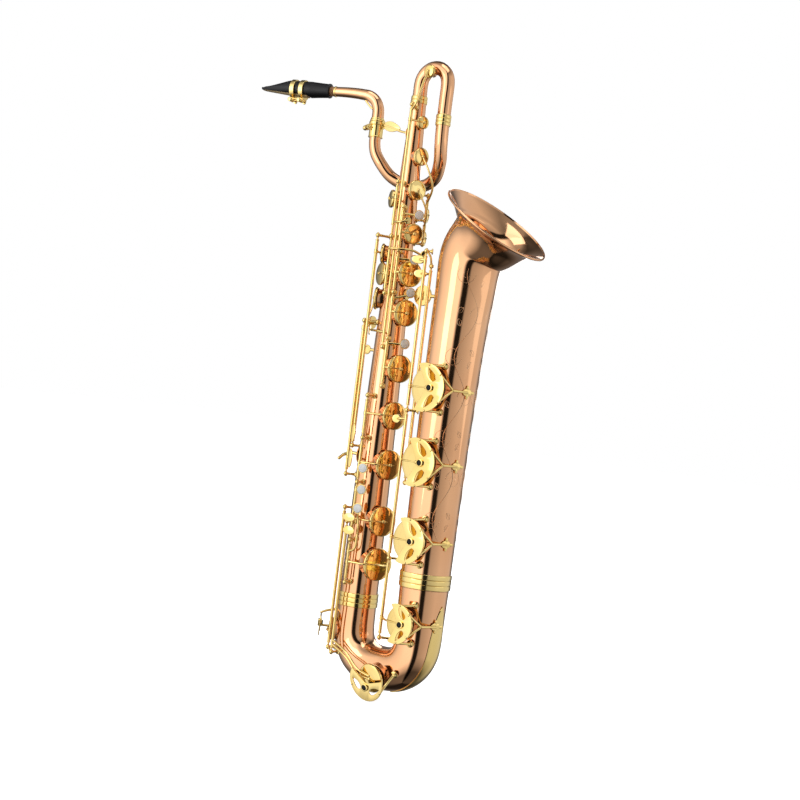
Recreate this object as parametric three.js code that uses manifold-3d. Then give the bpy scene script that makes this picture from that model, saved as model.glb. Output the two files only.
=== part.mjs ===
// Baritone saxophone: tubes, bands, key work, guards, neck and mouthpiece.
// Millimetres. +X from the player to the bell, +Y the player's left, +Z up the body tube.
// The design frame has the body tube's axis at x = y = 0 and the bottom bow's lowest point
// at z = 0. The last line moves the strap ring's eye to the origin.

import * as THREE from "three";
import { mergeVertices } from "three/addons/utils/BufferGeometryUtils.js";
import Module from "manifold-3d";

const wasm = await Module();
wasm.setup();
const { Manifold, Mesh: SolidMesh } = wasm;

// ---- Driving dimensions -----------------------------------------------------------------

const GAP = 0.3; // air between pieces that touch on the real instrument
const WALL = 1.2; // tube wall
const BODY_BOTTOM_Z = 128; // joint between bottom bow and body tube
const BODY_TOP_Z = 985; // joint between body tube and upper bow
const BODY_BOTTOM_R = 31.5;
const BODY_MIDDLE_R = 25;
const BODY_TOP_R = 12;
const BELL_X = 131.5; // bell tube axis, forward of the body tube
const BELL_BOTTOM_Z = 180; // joint between bottom bow and bell
const BELL_BOTTOM_R = 40;
const BELL_THROAT_R = 55.5; // bell radius where the flare begins
const BELL_RIM_R = 92;
const BELL_RIM_X = 186;
const BELL_RIM_Z = 772;
const BELL_TILT = 35; // degrees the rim faces forward
const FLARE_LENGTH = 19; // how quickly the flare dies away below the rim
const BOW_BOTTOM_Z = 38; // lowest point of the bottom bow's centre line
const BOW_CENTRE_Z = 98; // where the bottom bow's ends turn straight
const CROOK_X = 55; // tube that comes down from the upper bow
const CROOK_R = 11.2;
const RECEIVER_X = -84; // neck receiver's axis
const RECEIVER_Z = 938; // mouth of the neck receiver
const RECEIVER_R = 9.8;
const TOP_BOW_Z = BODY_TOP_Z + 15; // centre of the upper bow's half circle
const CHIMNEY = 4.5; // how far a tone hole's rim stands off its tube
const CUP_HEIGHT = 7;
const ROD_R = 1.5; // steel hinge rods
const BARREL_R = 3; // key barrels on those rods
const POST_R = 2.2;
const BALL_R = 3.9; // post heads
const NECK_SWING = 17; // degrees the neck is turned towards the player's right
const NECK_REACH = 84; // receiver axis to the end of the neck's brass
const NECK_RISE = 49; // receiver mouth to the neck's end
const MOUTHPIECE_LENGTH = 128;
const MOUTHPIECE_R = 14;
const STRAP_X = -46; // strap ring's eye
const STRAP_Z = 554;
const STRAP_RING_R = 8;
const GUARD_LIFT = 21; // guard plate above the tone hole's rim
const GUARD_PLATE = 1.8;
const GUARD_STAND_OFF = 7.5; // from a cup's edge to a guard's feet
const PRONG_ANGLE = 36; // degrees between a forked leg's stem and each prong's root
const BOSS_OFFSET = 0.3; // bumper boss, as a share of a guard's radius from its middle
const CUP_OPEN = 6; // how far a guarded cup stands open at its middle
const STACK_OPEN = 4.5; // how far a stack key's cup stands open

// Facets round each kind of piece.
const TUBE_SIDES = 14;
const BELL_SIDES = 18;
const HOLE_SIDES = 8;
const CUP_SIDES = 10;
const ROD_SIDES = 6;
const BARREL_SIDES = 6;
const FACET = 0.22; // facets flatter than this are merged

// ---- Materials --------------------------------------------------------------------------

const finish = (colour, roughness, metalness) =>
  new THREE.MeshStandardMaterial({ color: colour, roughness, metalness });
const bronze = finish(0xb87058, 0.15, 1);
const brass = finish(0xd8b25a, 0.2, 1);
const rubber = finish(0x0c0c0d, 0.45, 0);
const cork = finish(0xa8683a, 0.85, 0);
const cane = finish(0xd9c38c, 0.6, 0);

// ---- Geometry helpers -------------------------------------------------------------------

const V = (x, y, z) => new THREE.Vector3(x, y, z);
const radians = THREE.MathUtils.degToRad;
const UP = V(0, 1, 0);
const Z_AXIS = V(0, 0, 1);

/** A closed three.js geometry as a solid that can be joined and cut. */
function solidOf(geometry) {
  const bare = geometry.index ? geometry.toNonIndexed() : geometry.clone();
  bare.deleteAttribute("normal");
  bare.deleteAttribute("uv");
  const merged = mergeVertices(bare, 1e-4);
  const corners = new Uint32Array(merged.index.array);
  const build = () =>
    new Manifold(new SolidMesh({
      numProp: 3,
      vertProperties: merged.attributes.position.array,
      triVerts: corners,
    }));
  const made = build();
  if (made.volume() > 0) return made;
  for (let i = 0; i < corners.length; i += 3) {
    [corners[i + 1], corners[i + 2]] = [corners[i + 2], corners[i + 1]];
  }
  return build();
}

const join = (...solids) => Manifold.union(solids.flat());

/** A three.js geometry whose +Y points from a towards direction, placed at a. */
function aim(geometry, a, direction) {
  const turn = new THREE.Quaternion().setFromUnitVectors(UP, direction.clone().normalize());
  return geometry.applyQuaternion(turn).translate(a.x, a.y, a.z);
}

/** A round bar from a to b. */
function bar(a, b, r, sides = ROD_SIDES, rEnd = r) {
  const along = b.clone().sub(a);
  const geometry = new THREE.CylinderGeometry(rEnd, r, along.length(), sides);
  geometry.translate(0, along.length() / 2, 0);
  return solidOf(aim(geometry, a, along));
}

/** A hollow barrel that turns on a rod, from a to b. */
function barrel(a, b) {
  return bar(a, b, BARREL_R, BARREL_SIDES)
    .subtract(bar(beyond(b, a), beyond(a, b), ROD_R + 0.4));
}

/** The point 1 mm past b on the line from a. */
function beyond(a, b) {
  return b.clone().add(b.clone().sub(a).setLength(1));
}

const ball = (centre, r) => {
  const geometry = new THREE.SphereGeometry(r, 6, 3);
  return solidOf(geometry.translate(centre.x, centre.y, centre.z));
};

/** A bar of round section that bends smoothly through points. */
function bent(points, r, steps = 5, sides = 4) {
  const shape = new THREE.Shape();
  for (let i = 0; i < sides; i++) {
    const a = (i / sides) * 2 * Math.PI;
    const method = i ? "lineTo" : "moveTo";
    shape[method](r * Math.cos(a), r * Math.sin(a));
  }
  const path = new THREE.CatmullRomCurve3(points, false, "centripetal");
  return solidOf(new THREE.ExtrudeGeometry(shape, { steps, extrudePath: path }));
}

/** A turned solid: profile holds [radius, height] pairs along direction from a. */
function turned(profile, a, direction, sides = CUP_SIDES) {
  const points = profile.map(([r, h]) => new THREE.Vector2(r, h));
  return solidOf(aim(new THREE.LatheGeometry(points, sides), a, direction));
}

/** A flat plate of thickness t, its outline in the plane across direction at a. */
function plate(shape, t, a, direction, across) {
  const z = direction.clone().normalize();
  const x = across.clone().addScaledVector(z, -across.dot(z)).normalize();
  const y = z.clone().cross(x);
  const place = new THREE.Matrix4().makeBasis(x, y, z).setPosition(a);
  const options = { depth: t, bevelEnabled: false, curveSegments: 3 };
  return solidOf(new THREE.ExtrudeGeometry(shape, options).applyMatrix4(place));
}

/** An oval outline with half-widths a and b. */
function oval(a, b) {
  const shape = new THREE.Shape();
  shape.absellipse(0, 0, a, b, 0, 2 * Math.PI, false, 0);
  return shape;
}

/**
 * A tube whose centre line is curve and whose outer radius is radiusAt(0..1). It is a turned
 * profile, bent along the curve; solid leaves the bore out.
 */
function tube(curve, radiusAt, steps, sides, wall = WALL, solid = false) {
  const outer = [];
  const inner = [];
  for (let i = 0; i <= steps; i++) {
    outer.push(new THREE.Vector2(radiusAt(i / steps), i / steps));
    inner.unshift(new THREE.Vector2(radiusAt(i / steps) - wall, i / steps));
  }
  const ends = [new THREE.Vector2(0, 1), new THREE.Vector2(0, 0)];
  const profile = solid ? [ends[1], ...outer, ends[0]] : [...outer, ...inner, outer[0]];
  const geometry = new THREE.LatheGeometry(profile, sides);
  const place = geometry.attributes.position;
  for (let i = 0; i < place.count; i++) {
    const t = THREE.MathUtils.clamp(place.getY(i), 0, 1);
    const along = curve.getTangentAt(t);
    const side = V(0, 1, 0).addScaledVector(along, -along.y).normalize();
    const front = along.clone().cross(side);
    const p = curve.getPointAt(t);
    p.addScaledVector(front, place.getX(i)).addScaledVector(side, place.getZ(i));
    place.setXYZ(i, p.x, p.y, p.z);
  }
  return solidOf(geometry);
}

/** A ring around a tube, cut so that it clears the tube by the gap. */
function band(curve, radiusAt, from, to, thickness, sides = TUBE_SIDES) {
  const part = (extra, past) => {
    const points = [from, to].map((t) => curve.getPointAt(t));
    points[0].addScaledVector(curve.getTangentAt(from), -past);
    points[1].addScaledVector(curve.getTangentAt(to), past);
    const r = (t) => radiusAt(from + (to - from) * t) + extra;
    return tube(new THREE.LineCurve3(...points), r, 1, sides, 0, true);
  };
  return part(thickness, 0).subtract(part(GAP + 0.1, 1));
}

// ---- Tubes ------------------------------------------------------------------------------

/** Body tube's outer radius at height z: a smooth curve through three radii. */
function bodyR(z) {
  const u = (2 * (z - BODY_BOTTOM_Z)) / (BODY_TOP_Z - BODY_BOTTOM_Z);
  const first = BODY_MIDDLE_R - BODY_BOTTOM_R;
  const second = BODY_TOP_R - BODY_MIDDLE_R - first;
  return BODY_BOTTOM_R + u * first + (u * (u - 1) * second) / 2;
}

const bodyLine = new THREE.LineCurve3(V(0, 0, BODY_BOTTOM_Z + GAP), V(0, 0, BODY_TOP_Z));
const bodyRadius = (t) => bodyR(BODY_BOTTOM_Z + t * (BODY_TOP_Z - BODY_BOTTOM_Z));

/** Bottom bow's centre line: two straight ends and a full, rounded bottom. */
function bowCurve() {
  const fullness = 2.3;
  const half = BELL_X / 2;
  const depth = BOW_CENTRE_Z - BOW_BOTTOM_Z;
  const points = [V(0, 0, BODY_BOTTOM_Z), V(0, 0, (BODY_BOTTOM_Z + BOW_CENTRE_Z) / 2)];
  for (let i = 0; i <= 12; i++) {
    const a = (i / 12) * Math.PI;
    const c = Math.sign(Math.cos(a)) * Math.abs(Math.cos(a)) ** (2 / fullness);
    const s = Math.abs(Math.sin(a)) ** (2 / fullness);
    points.push(V(half - half * c, 0, BOW_CENTRE_Z - depth * s));
  }
  points.push(V(BELL_X, 0, (BELL_BOTTOM_Z + BOW_CENTRE_Z) / 2), V(BELL_X, 0, BELL_BOTTOM_Z));
  return new THREE.CatmullRomCurve3(points, false, "centripetal");
}
const bowLine = bowCurve();
const bowRadius = (t) => BODY_BOTTOM_R + (BELL_BOTTOM_R - BODY_BOTTOM_R) * t;

/** Bell's centre line: straight up, then forward to the tilted rim. */
function bellCurve() {
  const tilt = radians(BELL_TILT);
  const rim = V(BELL_RIM_X, 0, BELL_RIM_Z);
  const back = V(-Math.sin(tilt), 0, -Math.cos(tilt));
  const straight = BELL_RIM_Z - BELL_BOTTOM_Z;
  return new THREE.CatmullRomCurve3([
    V(BELL_X, 0, BELL_BOTTOM_Z + GAP),
    V(BELL_X, 0, BELL_BOTTOM_Z + 0.25 * straight),
    V(BELL_X + 2.5, 0, BELL_BOTTOM_Z + 0.55 * straight),
    V(BELL_X + 8.5, 0, BELL_BOTTOM_Z + 0.8 * straight),
    rim.clone().addScaledVector(back, 60).add(V(-4.5, 0, 0)),
    rim.clone().addScaledVector(back, 24),
    rim,
  ], false, "centripetal");
}
const bellLine = bellCurve();
const bellLength = bellLine.getLength();
function bellRadius(t) {
  const cone = BELL_BOTTOM_R + 7 * t;
  const swell = (BELL_THROAT_R - BELL_BOTTOM_R - 7) * t ** 5;
  const flare = (BELL_RIM_R - BELL_THROAT_R) * Math.exp((-(1 - t) * bellLength) / FLARE_LENGTH);
  return cone + swell + flare;
}

/** Even steps along the bell, drawn close together towards the rim. */
const towardsRim = (t) => 1 - (1 - t) ** 1.9;

/** Bell axis's x and the bell's radius at height z, below the curve. */
function bellAt(z) {
  const t = THREE.MathUtils.clamp((z - BELL_BOTTOM_Z) / (BELL_RIM_Z - BELL_BOTTOM_Z), 0, 1);
  const s = t * 0.97;
  return { x: bellLine.getPointAt(s).x, r: bellRadius(s) };
}

// ---- Tone holes -------------------------------------------------------------------------

const polar = (phi, rho, z) =>
  V(rho * Math.cos(radians(phi)), rho * Math.sin(radians(phi)), z);

/** Tone hole on the body tube, facing angle phi, for a key cup of radius r. */
function bodyHole(phi, z, r) {
  const axis = polar(phi, 1, 0);
  return { seat: polar(phi, bodyR(z) + CHIMNEY, z), axis, r, depth: bodyR(z) * 0.9 };
}

const holes = {
  b: bodyHole(-16, 684, 22),
  a: bodyHole(-16, 619, 22),
  g: bodyHole(-15, 527, 23),
  f_sharp: bodyHole(-14, 449, 23),
  f: bodyHole(-14, 368, 25),
  e: bodyHole(-14, 275, 25),
  d: bodyHole(-14, 204, 27),
  c: bodyHole(-20, 750, 17),
  palm_d: bodyHole(-18, 823, 17),
  palm_e_flat: bodyHole(-14, 879, 15),
  octave: bodyHole(-24, 935, 11),
  g_sharp: bodyHole(-120, 680, 19),
  front_f: bodyHole(-128, 806, 15),
  side_b_flat: bodyHole(-150, 640, 19),
  side_c: bodyHole(-150, 715, 17),
};

/** Tone hole on the bell tube, facing the player's right. */
function bellHole(z, r) {
  const { x, r: tubeR } = bellAt(Math.max(z, BELL_BOTTOM_Z));
  const seat = V(x, -(tubeR + CHIMNEY), z);
  return { seat, axis: V(0, -1, 0), r, depth: tubeR * 0.9 };
}
const bellHoles = { b_flat: bellHole(501, 29), b: bellHole(382, 29), c_sharp: bellHole(257, 29) };

const LOW_C_TILT = 15; // degrees the low C cup faces down
const LOW_C_X = 84;
const bowAxisZ = (x) => {
  const u = Math.abs((x - BELL_X / 2) / (BELL_X / 2));
  return BOW_CENTRE_Z - (BOW_CENTRE_Z - BOW_BOTTOM_Z) * (1 - u ** 2.3) ** (1 / 2.3);
};
const lowCAxis = V(0, -Math.cos(radians(LOW_C_TILT)), -Math.sin(radians(LOW_C_TILT)));
const bowR = (x) => BODY_BOTTOM_R + ((BELL_BOTTOM_R - BODY_BOTTOM_R) * x) / BELL_X;
const bowHoles = {
  low_a: {
    seat: V(BELL_X, -(BELL_BOTTOM_R + CHIMNEY - 0.8), 125),
    axis: V(0, -1, 0), r: 23, depth: 34,
  },
  low_c: {
    seat: V(LOW_C_X, 0, bowAxisZ(LOW_C_X)).addScaledVector(lowCAxis, bowR(LOW_C_X) + CHIMNEY),
    axis: lowCAxis, r: 24, depth: 32,
  },
  e_flat: {
    seat: polar(-142, BODY_BOTTOM_R + CHIMNEY, 86),
    axis: polar(-142, 1, 0), r: 20, depth: 28,
  },
};

/** Chimneys joined to a tube and their bores cut out of it. */
function withHoles(outside, bore, list) {
  const ends = (hole, from, to, r) =>
    bar(
      hole.seat.clone().addScaledVector(hole.axis, from),
      hole.seat.clone().addScaledVector(hole.axis, to), r, HOLE_SIDES);
  const chimneys = list.map((h) => ends(h, -h.depth * 0.75, 0, h.r - 3));
  const bores = list.map((h) => ends(h, -h.depth * 0.8, 1, h.r - 4.4));
  return join(outside, ...chimneys).subtract(join(bore, ...bores));
}

function tapped(curve, radiusAt, steps, sides, list) {
  const outside = tube(curve, radiusAt, steps, sides, 0, true);
  const stretched = (t) => radiusAt(t) - WALL;
  const bore = tube(longer(curve), stretched, steps, sides, 0, true);
  return withHoles(outside, bore, list);
}

/** The curve, a little past both of its ends, so that a bore cuts clean through. */
function longer(curve) {
  const points = [];
  for (let i = 0; i <= 24; i++) points.push(curve.getPointAt(i / 24));
  points[0].addScaledVector(curve.getTangentAt(0), -1);
  points[24].addScaledVector(curve.getTangentAt(1), 1);
  return new THREE.CatmullRomCurve3(points, false, "centripetal");
}

// ---- Hinge lines ------------------------------------------------------------------------

/** A hinge line parallel to Z at (x, y); feet go to the tube axis at tubeX. */
const hinge = (x, y, tubeX, radiusAt) => ({ x, y, tubeX, radiusAt });
const bodyHinge = (phi, rho) => hinge(polar(phi, rho, 0).x, polar(phi, rho, 0).y, 0, bodyR);
const bellRadiusAtZ = (z) => (z < BELL_BOTTOM_Z ? BELL_BOTTOM_R : bellAt(z).r);

const lowerStack = bodyHinge(-84, BODY_BOTTOM_R + 15.5);
const upperStack = bodyHinge(-58, BODY_MIDDLE_R + 13.5);
const leftLine = bodyHinge(-80, BODY_MIDDLE_R + 14);
const octaveLine = bodyHinge(-69, BODY_MIDDLE_R + 12.5);
const sideLine = bodyHinge(-116, BODY_BOTTOM_R + 13.5);
const sideLine2 = bodyHinge(-128, BODY_BOTTOM_R + 15.5);
const palmLine = bodyHinge(42, BODY_MIDDLE_R + 9);
const lowCLine = bodyHinge(-96, BODY_BOTTOM_R + 16.5);
const eFlatLine = bodyHinge(-112, BODY_BOTTOM_R + 14.5);
const bellEdge = BELL_X - BELL_BOTTOM_R;
const bellLine1 = hinge(bellEdge - 9.5, 2 - BELL_BOTTOM_R, BELL_X, bellRadiusAtZ);
const bellLine2 = hinge(bellEdge - 4.5, 13 - BELL_BOTTOM_R, BELL_X, bellRadiusAtZ);

const onLine = (line, z) => V(line.x, line.y, z);

/** A rod with posts at the given heights, each post standing on the tube. */
function postsAndRod(line, heights, extras = []) {
  const [low, high] = [Math.min(...heights), Math.max(...heights)];
  const pieces = [bar(onLine(line, low), onLine(line, high), ROD_R)];
  for (const z of heights) {
    const head = onLine(line, z);
    const centre = V(line.tubeX, 0, z);
    const out = head.clone().sub(centre).normalize();
    const foot = centre.clone().addScaledVector(out, line.radiusAt(z) + GAP + 0.35);
    pieces.push(bar(foot, head, POST_R + 0.6, ROD_SIDES, POST_R - 0.4));
    pieces.push(turned([[0, 0], [5, 0], [5, 1.4], [0, 1.4]], foot, out, 6));
    pieces.push(ball(head, BALL_R));
  }
  return join(...pieces, ...extras);
}

// ---- Keys -------------------------------------------------------------------------------

/** A key cup with its pad, closed down on its tone hole. */
function cup(hole) {
  const { r } = hole;
  const profile = [
    [0, 0], [r - 1, 0], [r, 1.6], [r, 4.6], [r * 0.8, CUP_HEIGHT], [0, CUP_HEIGHT + 0.4],
  ];
  return turned(profile, hole.seat.clone().addScaledVector(hole.axis, GAP), hole.axis);
}

/** An arm from a hinge line at height z to the middle of a cup. */
function arm(line, z, hole, via = []) {
  const from = onLine(line, z);
  const top = hole.seat.clone().addScaledVector(hole.axis, CUP_HEIGHT + 0.6);
  const back = from.clone().sub(top);
  back.addScaledVector(hole.axis, -back.dot(hole.axis)).setLength(hole.r);
  const rim = top.clone().add(back).addScaledVector(hole.axis, 0.4);
  return join(bent([from, ...via, rim, top], 2, 4 + via.length), ball(top, 2.8));
}

/** A pearl touch: a shallow dish that faces outwards. */
function pearl(line, { z, phi, rho, rise }) {
  const place = polar(phi, rho, z + rise);
  const out = polar(phi, 1, 0);
  const dish = turned([[0, 0], [7, 0], [8.6, 1.8], [8.6, 3.6], [0, 4.1]], place, out, 10);
  const lean = rise > 20 ? [polar(phi, rho - 4, z + 6), polar(phi, rho - 4, z + rise - 16)] : [];
  const last = polar(phi, rho - 2, z + rise * 0.8);
  return join(dish, bent([onLine(line, z), ...lean, last, place], 2, 3 + 2 * lean.length));
}

/** An oval paddle touch on an arm. */
function paddle(line, z, phi, rho, long, wide) {
  const place = polar(phi, rho, z);
  const out = polar(phi, 1, 0);
  const blade = plate(oval(wide, long), 2.4, place, out, out.clone().cross(Z_AXIS));
  const tip = place.clone().addScaledVector(out, 1);
  return join(blade, bent([onLine(line, z), polar(phi, rho - 1, z), tip], 1.9, 4));
}

/** A solid turned about a hinge line by an angle in degrees. */
function turnAbout(solid, line, angle) {
  const centred = solid.translate([-line.x, -line.y, 0]);
  return centred.rotate([0, 0, angle]).translate([line.x, line.y, 0]);
}

// ---- Guards -----------------------------------------------------------------------------

/** A crescent outline about its arc's centre, open towards -X, with two leaf openings. */
function crescent(radius) {
  const shape = new THREE.Shape();
  const tip = radians(112);
  shape.absarc(0, 0, radius, -tip, tip, false);
  const way = V(Math.cos(tip), Math.sin(tip), 0);
  shape.quadraticCurveTo(-radius * 0.05, radius * 0.36, BOSS_OFFSET * radius - 7, 0);
  shape.quadraticCurveTo(-radius * 0.05, -radius * 0.36, radius * way.x, -radius * way.y);
  for (const side of [-1, 1]) {
    const leaf = new THREE.Path();
    leaf.moveTo(radius * 0.42, side * radius * 0.26);
    leaf.quadraticCurveTo(radius * 0.82, side * radius * 0.4, radius * 0.1, side * radius * 0.84);
    leaf.quadraticCurveTo(radius * 0.1, side * radius * 0.42, radius * 0.42, side * radius * 0.26);
    shape.holes.push(leaf);
  }
  return shape;
}

/**
 * A key guard: a crescent plate with two leaf openings and a bumper boss over the cup, and
 * legs from its rim to feet on the tube. legs are [rim angle, foot point, outward] lists, and
 * fork is the [foot point, outward] of a leg with two prongs.
 */
function guard(hole, radius, across, legs, fork) {
  const { axis } = hole;
  const middle = hole.seat.clone().addScaledVector(axis, GUARD_LIFT);
  const x = across.clone().addScaledVector(axis, -across.dot(axis)).normalize();
  const y = axis.clone().cross(x);
  const onRim = (angle) => middle.clone()
    .addScaledVector(x, (radius - 2) * Math.cos(radians(angle)))
    .addScaledVector(y, (radius - 2) * Math.sin(radians(angle)))
    .addScaledVector(axis, GUARD_PLATE / 2);
  const bossAt = middle.clone().addScaledVector(x, BOSS_OFFSET * radius);
  const bossFoot = bossAt.clone().addScaledVector(axis, -1.5);
  const pieces = [
    plate(crescent(radius), GUARD_PLATE, middle, axis, across),
    turned([[0, 0], [6.5, 0], [6.5, 6], [0, 6.5]], bossFoot, axis, 8),
    bar(bossAt, bossAt.clone().addScaledVector(axis, -3.6), 4, 7),
  ];
  for (const [angle, foot, out] of legs) {
    const rim = onRim(angle);
    const knee = rim.clone().lerp(foot, 0.55).add(axis).addScaledVector(out, 3);
    pieces.push(bent([rim, knee, foot.clone().addScaledVector(out, 1.2)], 2, 3));
    pieces.push(turned([[0, 0], [6, 0], [6, 1.8], [0, 1.8]], foot, out, 8));
  }
  if (fork) {
    const [foot, out] = fork;
    const meet = onRim(0).lerp(foot, 0.45).addScaledVector(axis, 2);
    for (const angle of [-PRONG_ANGLE, PRONG_ANGLE]) {
      pieces.push(bent([onRim(angle), meet], 1.9, 1));
    }
    pieces.push(bent([meet, foot.clone().addScaledVector(out, 1.4)], 2.1, 1));
    pieces.push(plate(oval(9, 5), 1.8, foot, out, V(-out.y, out.x, 0)));
  }
  return join(...pieces);
}

// ---- Assembly ---------------------------------------------------------------------------

const instrument = new THREE.Group();
instrument.name = "baritone_saxophone";

/** A solid as a named mesh of the instrument. */
function add(name, solid, material) {
  const mesh = solid.simplify(FACET).getMesh();
  const n = mesh.numProp;
  const corners = new Float32Array(mesh.numVert * 3);
  for (let i = 0; i < mesh.numVert; i++) {
    corners.set(mesh.vertProperties.subarray(i * n, i * n + 3), i * 3);
  }
  const geometry = new THREE.BufferGeometry();
  geometry.setAttribute("position", new THREE.BufferAttribute(corners, 3));
  geometry.setIndex(new THREE.BufferAttribute(new Uint32Array(mesh.triVerts), 1));
  geometry.computeVertexNormals();
  const made = new THREE.Mesh(geometry, material);
  made.name = name;
  instrument.add(made);
}

function addTubes() {
  const h = holes;
  add("body_tube", tapped(bodyLine, bodyRadius, 5, TUBE_SIDES, Object.values(h)), bronze);
  add("bottom_bow", tapped(bowLine, bowRadius, 13, TUBE_SIDES, Object.values(bowHoles)), bronze);
  const even = { getPointAt: (t) => bellLine.getPointAt(towardsRim(t)),
    getTangentAt: (t) => bellLine.getTangentAt(towardsRim(t)) };
  const radius = (t) => bellRadius(towardsRim(t));
  const outside = tube(even, radius, 12, BELL_SIDES, 0, true);
  const past = (t) => radius(t) - WALL + (t === 1 ? 1.2 : 0);
  const bore = tube(pastEnds(even), past, 12, BELL_SIDES, 0, true);
  add("bell", withHoles(outside, bore, Object.values(bellHoles)), bronze);
}

/** A curve-like object moved a little past both ends. */
function pastEnds(line) {
  const push = { 0: -1, 1: 0.6 };
  return {
    getTangentAt: (t) => line.getTangentAt(t),
    getPointAt: (t) => line.getPointAt(t).addScaledVector(line.getTangentAt(t), push[t] ?? 0),
  };
}

const half = CROOK_X / 2;
const upperBowLine = new THREE.CatmullRomCurve3(
  [V(0, 0, BODY_TOP_Z + GAP), ...Array.from({ length: 9 }, (_, i) => {
    const a = Math.PI - (i / 8) * Math.PI;
    return V(half + half * Math.cos(a), 0, TOP_BOW_Z + half * Math.sin(a));
  }), V(CROOK_X, 0, TOP_BOW_Z - 25), V(CROOK_X, 0, TOP_BOW_Z - 50)], false, "centripetal");
const upperBowRadius = (t) => BODY_TOP_R + (CROOK_R - BODY_TOP_R) * t;

const BEHIND = 38; // how far behind the body tube the crook passes
const CROOK_LOW_Z = RECEIVER_Z - 100; // lowest stretch of the crook
const crookLine = new THREE.CatmullRomCurve3([
  V(CROOK_X, 0, TOP_BOW_Z - 50 - GAP), V(CROOK_X, 0, TOP_BOW_Z - 75),
  V(CROOK_X - 1, 3, CROOK_LOW_Z + 62), V(CROOK_X - 8, 15, CROOK_LOW_Z + 34),
  V(CROOK_X - 25, BEHIND - 9, CROOK_LOW_Z + 12), V(0, BEHIND, CROOK_LOW_Z),
  V(-30, BEHIND - 7, CROOK_LOW_Z), V(-54, 19, CROOK_LOW_Z + 11), V(-69, 7, CROOK_LOW_Z + 30),
  V(RECEIVER_X + 4, 1, CROOK_LOW_Z + 49), V(RECEIVER_X, 0, RECEIVER_Z - 34),
  V(RECEIVER_X, 0, RECEIVER_Z - 18),
  V(RECEIVER_X, 0, RECEIVER_Z),
], false, "centripetal");
const crookRadius = (t) => CROOK_R + (RECEIVER_R - CROOK_R) * t;

const topVent = { seat: V(29, -(BODY_TOP_R + 3.2), TOP_BOW_Z + 18), axis: V(0, -1, 0), r: 11, depth: 12 };

/** A plate that wears in place of the bow, along the outside of its forward bend. */
function addBowPlate() {
  const shell = (extra) => tube(longer(bowLine), (t) => bowRadius(t) + extra, 13, TUBE_SIDES, 0, true);
  const block = new THREE.BoxGeometry(BELL_X, 30, BOW_CENTRE_Z + 10);
  const under = solidOf(block.translate(BELL_X * 1.22, 0, BOW_CENTRE_Z / 2));
  const core = solidOf(new THREE.BoxGeometry(BELL_X, 200, 200).translate(BELL_X * 0.62, 0, 140));
  add("bow_plate", shell(1.8).subtract(shell(GAP)).intersect(under).subtract(core), brass);
}

function addUpperTubes() {
  add("upper_bow", tapped(upperBowLine, upperBowRadius, 11, 10, [topVent]), bronze);
  add("crook", tube(crookLine, crookRadius, 14, 10), bronze);
  add("upper_band", band(bodyLine, bodyRadius, 0.98, 0.995, 1.6), brass);
  add("crook_band", band(crookLine, crookRadius, 0.004, 0.05, 1.6, 10), brass);
  add("body_band", band(bodyLine, bodyRadius, 0.001, 0.028, 2), brass);
  add("bell_band", band(bellLine, bellRadius, 0.001, 0.043, 2, BELL_SIDES), brass);
}

// Neck, turned about the receiver's axis, with its mouthpiece and reed.
const swing = radians(NECK_SWING);
const neckWay = V(-Math.cos(swing), -Math.sin(swing), 0);
const neckAt = (reach, rise) => V(RECEIVER_X, 0, RECEIVER_Z + rise).addScaledVector(neckWay, reach);
const neckLine = new THREE.CatmullRomCurve3([
  neckAt(0, 3), neckAt(0, 13), neckAt(1.3, 24), neckAt(7, 36),
  neckAt(18, 44), neckAt(34, 47), neckAt(58, 48.7), neckAt(NECK_REACH, NECK_RISE),
], false, "centripetal");
const neckRadius = (t) => 10.6 - 3.4 * t;
const TIP_RISE = 0.01; // slope of the mouthpiece
const pieceWay = neckWay.clone().add(V(0, 0, TIP_RISE)).normalize();
const pieceUp = V(0, 0, 1).addScaledVector(pieceWay, -pieceWay.z).normalize();
const pieceSide = pieceUp.clone().cross(pieceWay);
const shankEnd = neckAt(NECK_REACH + 8, NECK_RISE + 0.5);

/** A point in the mouthpiece's own frame: along it, to its side and up. */
const inPiece = (along, side, up) => shankEnd.clone().addScaledVector(pieceWay, along)
  .addScaledVector(pieceSide, side).addScaledVector(pieceUp, up);

function addNeck() {
  const brace = bent([neckAt(2, 19), neckAt(13, 24), neckAt(28, 39)], 1.6, 4);
  const collar = bar(neckAt(0, 1), neckAt(0, 6), 12.5, 12);
  const socket = bar(neckAt(0, -1), neckAt(0, 9), 9.2, 12);
  const shell = tube(neckLine, neckRadius, 9, 12);
  const nearEnd = (back) => neckAt(NECK_REACH - back, NECK_RISE - back * TIP_RISE);
  const ring = bar(nearEnd(3), nearEnd(0), 8.4, 12).subtract(bar(nearEnd(5), nearEnd(-2), 6.4, 10));
  const bore = tube(neckLine, neckRadius, 9, 12, 0, true);
  add("neck", join(shell, collar.subtract(socket), ring, brace.subtract(bore)), brass);
  const corkStart = neckAt(NECK_REACH + GAP, NECK_RISE);
  const corkBoreStart = corkStart.clone().addScaledVector(pieceWay, -2);
  const corkOuter = bar(corkStart, inPiece(26, 0, 0), 7.6, 16);
  add("neck_cork", corkOuter.subtract(bar(corkBoreStart, inPiece(28, 0, 0), 5.6, 12)), cork);
  addMouthpiece();
}

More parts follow.
